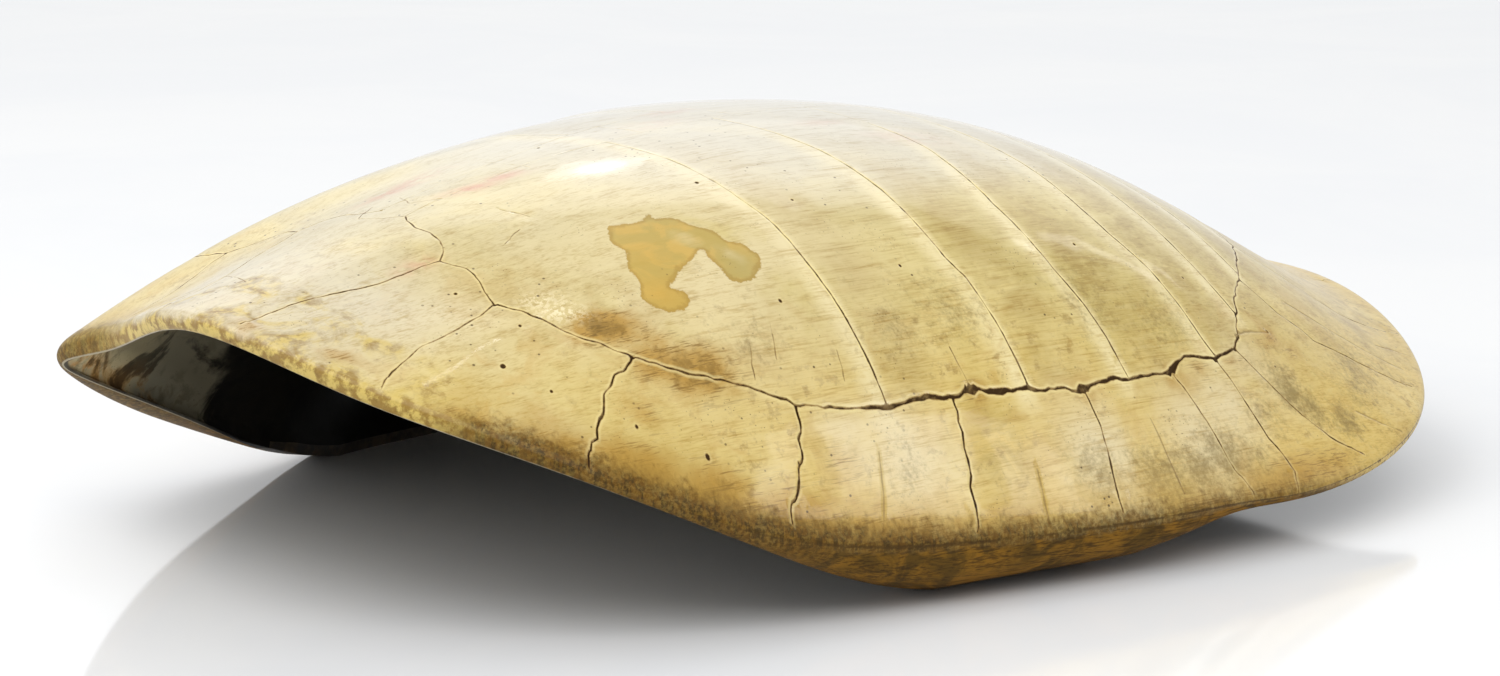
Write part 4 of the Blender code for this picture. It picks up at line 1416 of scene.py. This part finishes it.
def add_camera():
    """The camera at the photograph's angle."""
    a, e = CAMERA_AZIMUTH, CAMERA_ELEVATION
    back = Vector((math.sin(a) * math.cos(e), -math.cos(a) * math.cos(e), math.sin(e)))
    right = Vector((math.cos(a), math.sin(a), 0))
    up = back.cross(right)
    turn = Matrix.Rotation(CAMERA_ROLL, 3, back)
    aim = right * CAMERA_AIM[0] + Vector((0, 0, CAMERA_AIM[1]))
    right, up = turn @ right, turn @ up
    data = bpy.data.cameras.new("camera")
    data.lens = CAMERA_LENS
    data.sensor_width = 36.0
    camera = bpy.data.objects.new("camera", data)
    axes = Matrix((right, up, back)).transposed().to_4x4()
    camera.matrix_world = Matrix.Translation(back * CAMERA_DISTANCE + aim) @ axes
    bpy.context.scene.collection.objects.link(camera)
    bpy.context.scene.camera = camera


# ---------------------------------------------------------------- operators
def only(obj):
    """Selects this object and nothing else."""
    bpy.ops.object.select_all(action="DESELECT")
    obj.select_set(True)
    bpy.context.view_layer.objects.active = obj


class SHELL_OT_carapace(bpy.types.Operator):
    """Build the carapace with its seams, and give it its polished, sawn and inner bone finishes"""

    bl_idname = "turtle_shell.carapace"
    bl_label = "Carapace"
    bl_options = {"REGISTER", "UNDO"}

    def execute(self, context):
        settings = context.scene.turtle_shell
        lines = all_lines()
        pits = [(*metres((x, y)), PIT_WEAR * radius * MM) for x, y, radius in LEFT_PITS]
        nearest = NearestLine(lines, pits)
        shell, dome_count, keel, cut = whole_shell(lines, pits, nearest, settings.seam_depth)
        mesh = bpy.data.meshes.new("shell")
        mesh.from_pydata(np.concatenate(shell.points).tolist(), [], shell.faces)
        mesh.polygons.foreach_set("material_index", shell.slots)
        write_marks(mesh, dome_count, keel, cut, nearest)
        grain = bone_grain_group()
        colours = {name: getattr(settings, name) for name in BONE_COLOURS}
        for material in (polished_bone(grain, colours), sawn_bone(grain), inner_bone(grain)):
            mesh.materials.append(material)
        obj = bpy.data.objects.new("shell", mesh)
        context.scene.collection.objects.link(obj)
        only(obj)
        bpy.ops.object.mode_set(mode="EDIT")
        bpy.ops.mesh.select_all(action="SELECT")
        bpy.ops.mesh.normals_make_consistent(inside=False)
        bpy.ops.object.mode_set(mode="OBJECT")
        bpy.ops.object.shade_smooth_by_angle(angle=SHARP_ANGLE)
        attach(obj, "root")
        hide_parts("carapace")
        return {"FINISHED"}


class SHELL_OT_stage(bpy.types.Operator):
    """Set the shell on a glossy white table, light it softly and aim the camera"""

    bl_idname = "turtle_shell.stage"
    bl_label = "Stage"
    bl_options = {"REGISTER", "UNDO"}

    def execute(self, context):
        settings = context.scene.turtle_stage
        bpy.ops.object.select_all(action="DESELECT")
        bpy.ops.mesh.primitive_plane_add(size=settings.table_size, location=(0, 0, 0))
        table = context.active_object
        table.name = "tabletop"
        table.data.materials.append(table_finish())
        world = bpy.data.worlds.new("studio")
        world.use_nodes = True
        background = world.node_tree.nodes["Background"]
        background.inputs["Color"].default_value = ROOM_WHITE
        background.inputs["Strength"].default_value = settings.surround
        context.scene.world = world
        for light in SOFT_LIGHTS:
            add_soft_light(*light, settings.light)
        add_camera()
        context.scene.view_settings.view_transform = "Standard"
        return {"FINISHED"}


class SHELL_PT_sidebar(bpy.types.Panel):
    """Lists the steps and settings of the turtle shell"""

    bl_label = "Turtle Shell"
    bl_idname = "SHELL_PT_sidebar"
    bl_space_type = "VIEW_3D"
    bl_region_type = "UI"
    bl_category = "Turtle Shell"

    def draw(self, context):
        column = self.layout.column()
        for name in ("seam_depth", *BONE_COLOURS):
            column.prop(context.scene.turtle_shell, name)
        column.operator(SHELL_OT_carapace.bl_idname)
        for name in ("table_size", "light", "surround"):
            column.prop(context.scene.turtle_stage, name)
        column.operator(SHELL_OT_stage.bl_idname)


CLASSES = (ShellSettings, StageSettings, SHELL_OT_carapace, SHELL_OT_stage, SHELL_PT_sidebar)


def register():
    for item in CLASSES:
        bpy.utils.register_class(item)
    bpy.types.Scene.turtle_shell = bpy.props.PointerProperty(type=ShellSettings)
    bpy.types.Scene.turtle_stage = bpy.props.PointerProperty(type=StageSettings)


def unregister():
    del bpy.types.Scene.turtle_stage
    del bpy.types.Scene.turtle_shell
    for item in reversed(CLASSES):
        bpy.utils.unregister_class(item)


def main():
    register()
    bpy.ops.turtle_shell.carapace()
    bpy.ops.turtle_shell.stage()


if __name__ == "__main__":
    main()
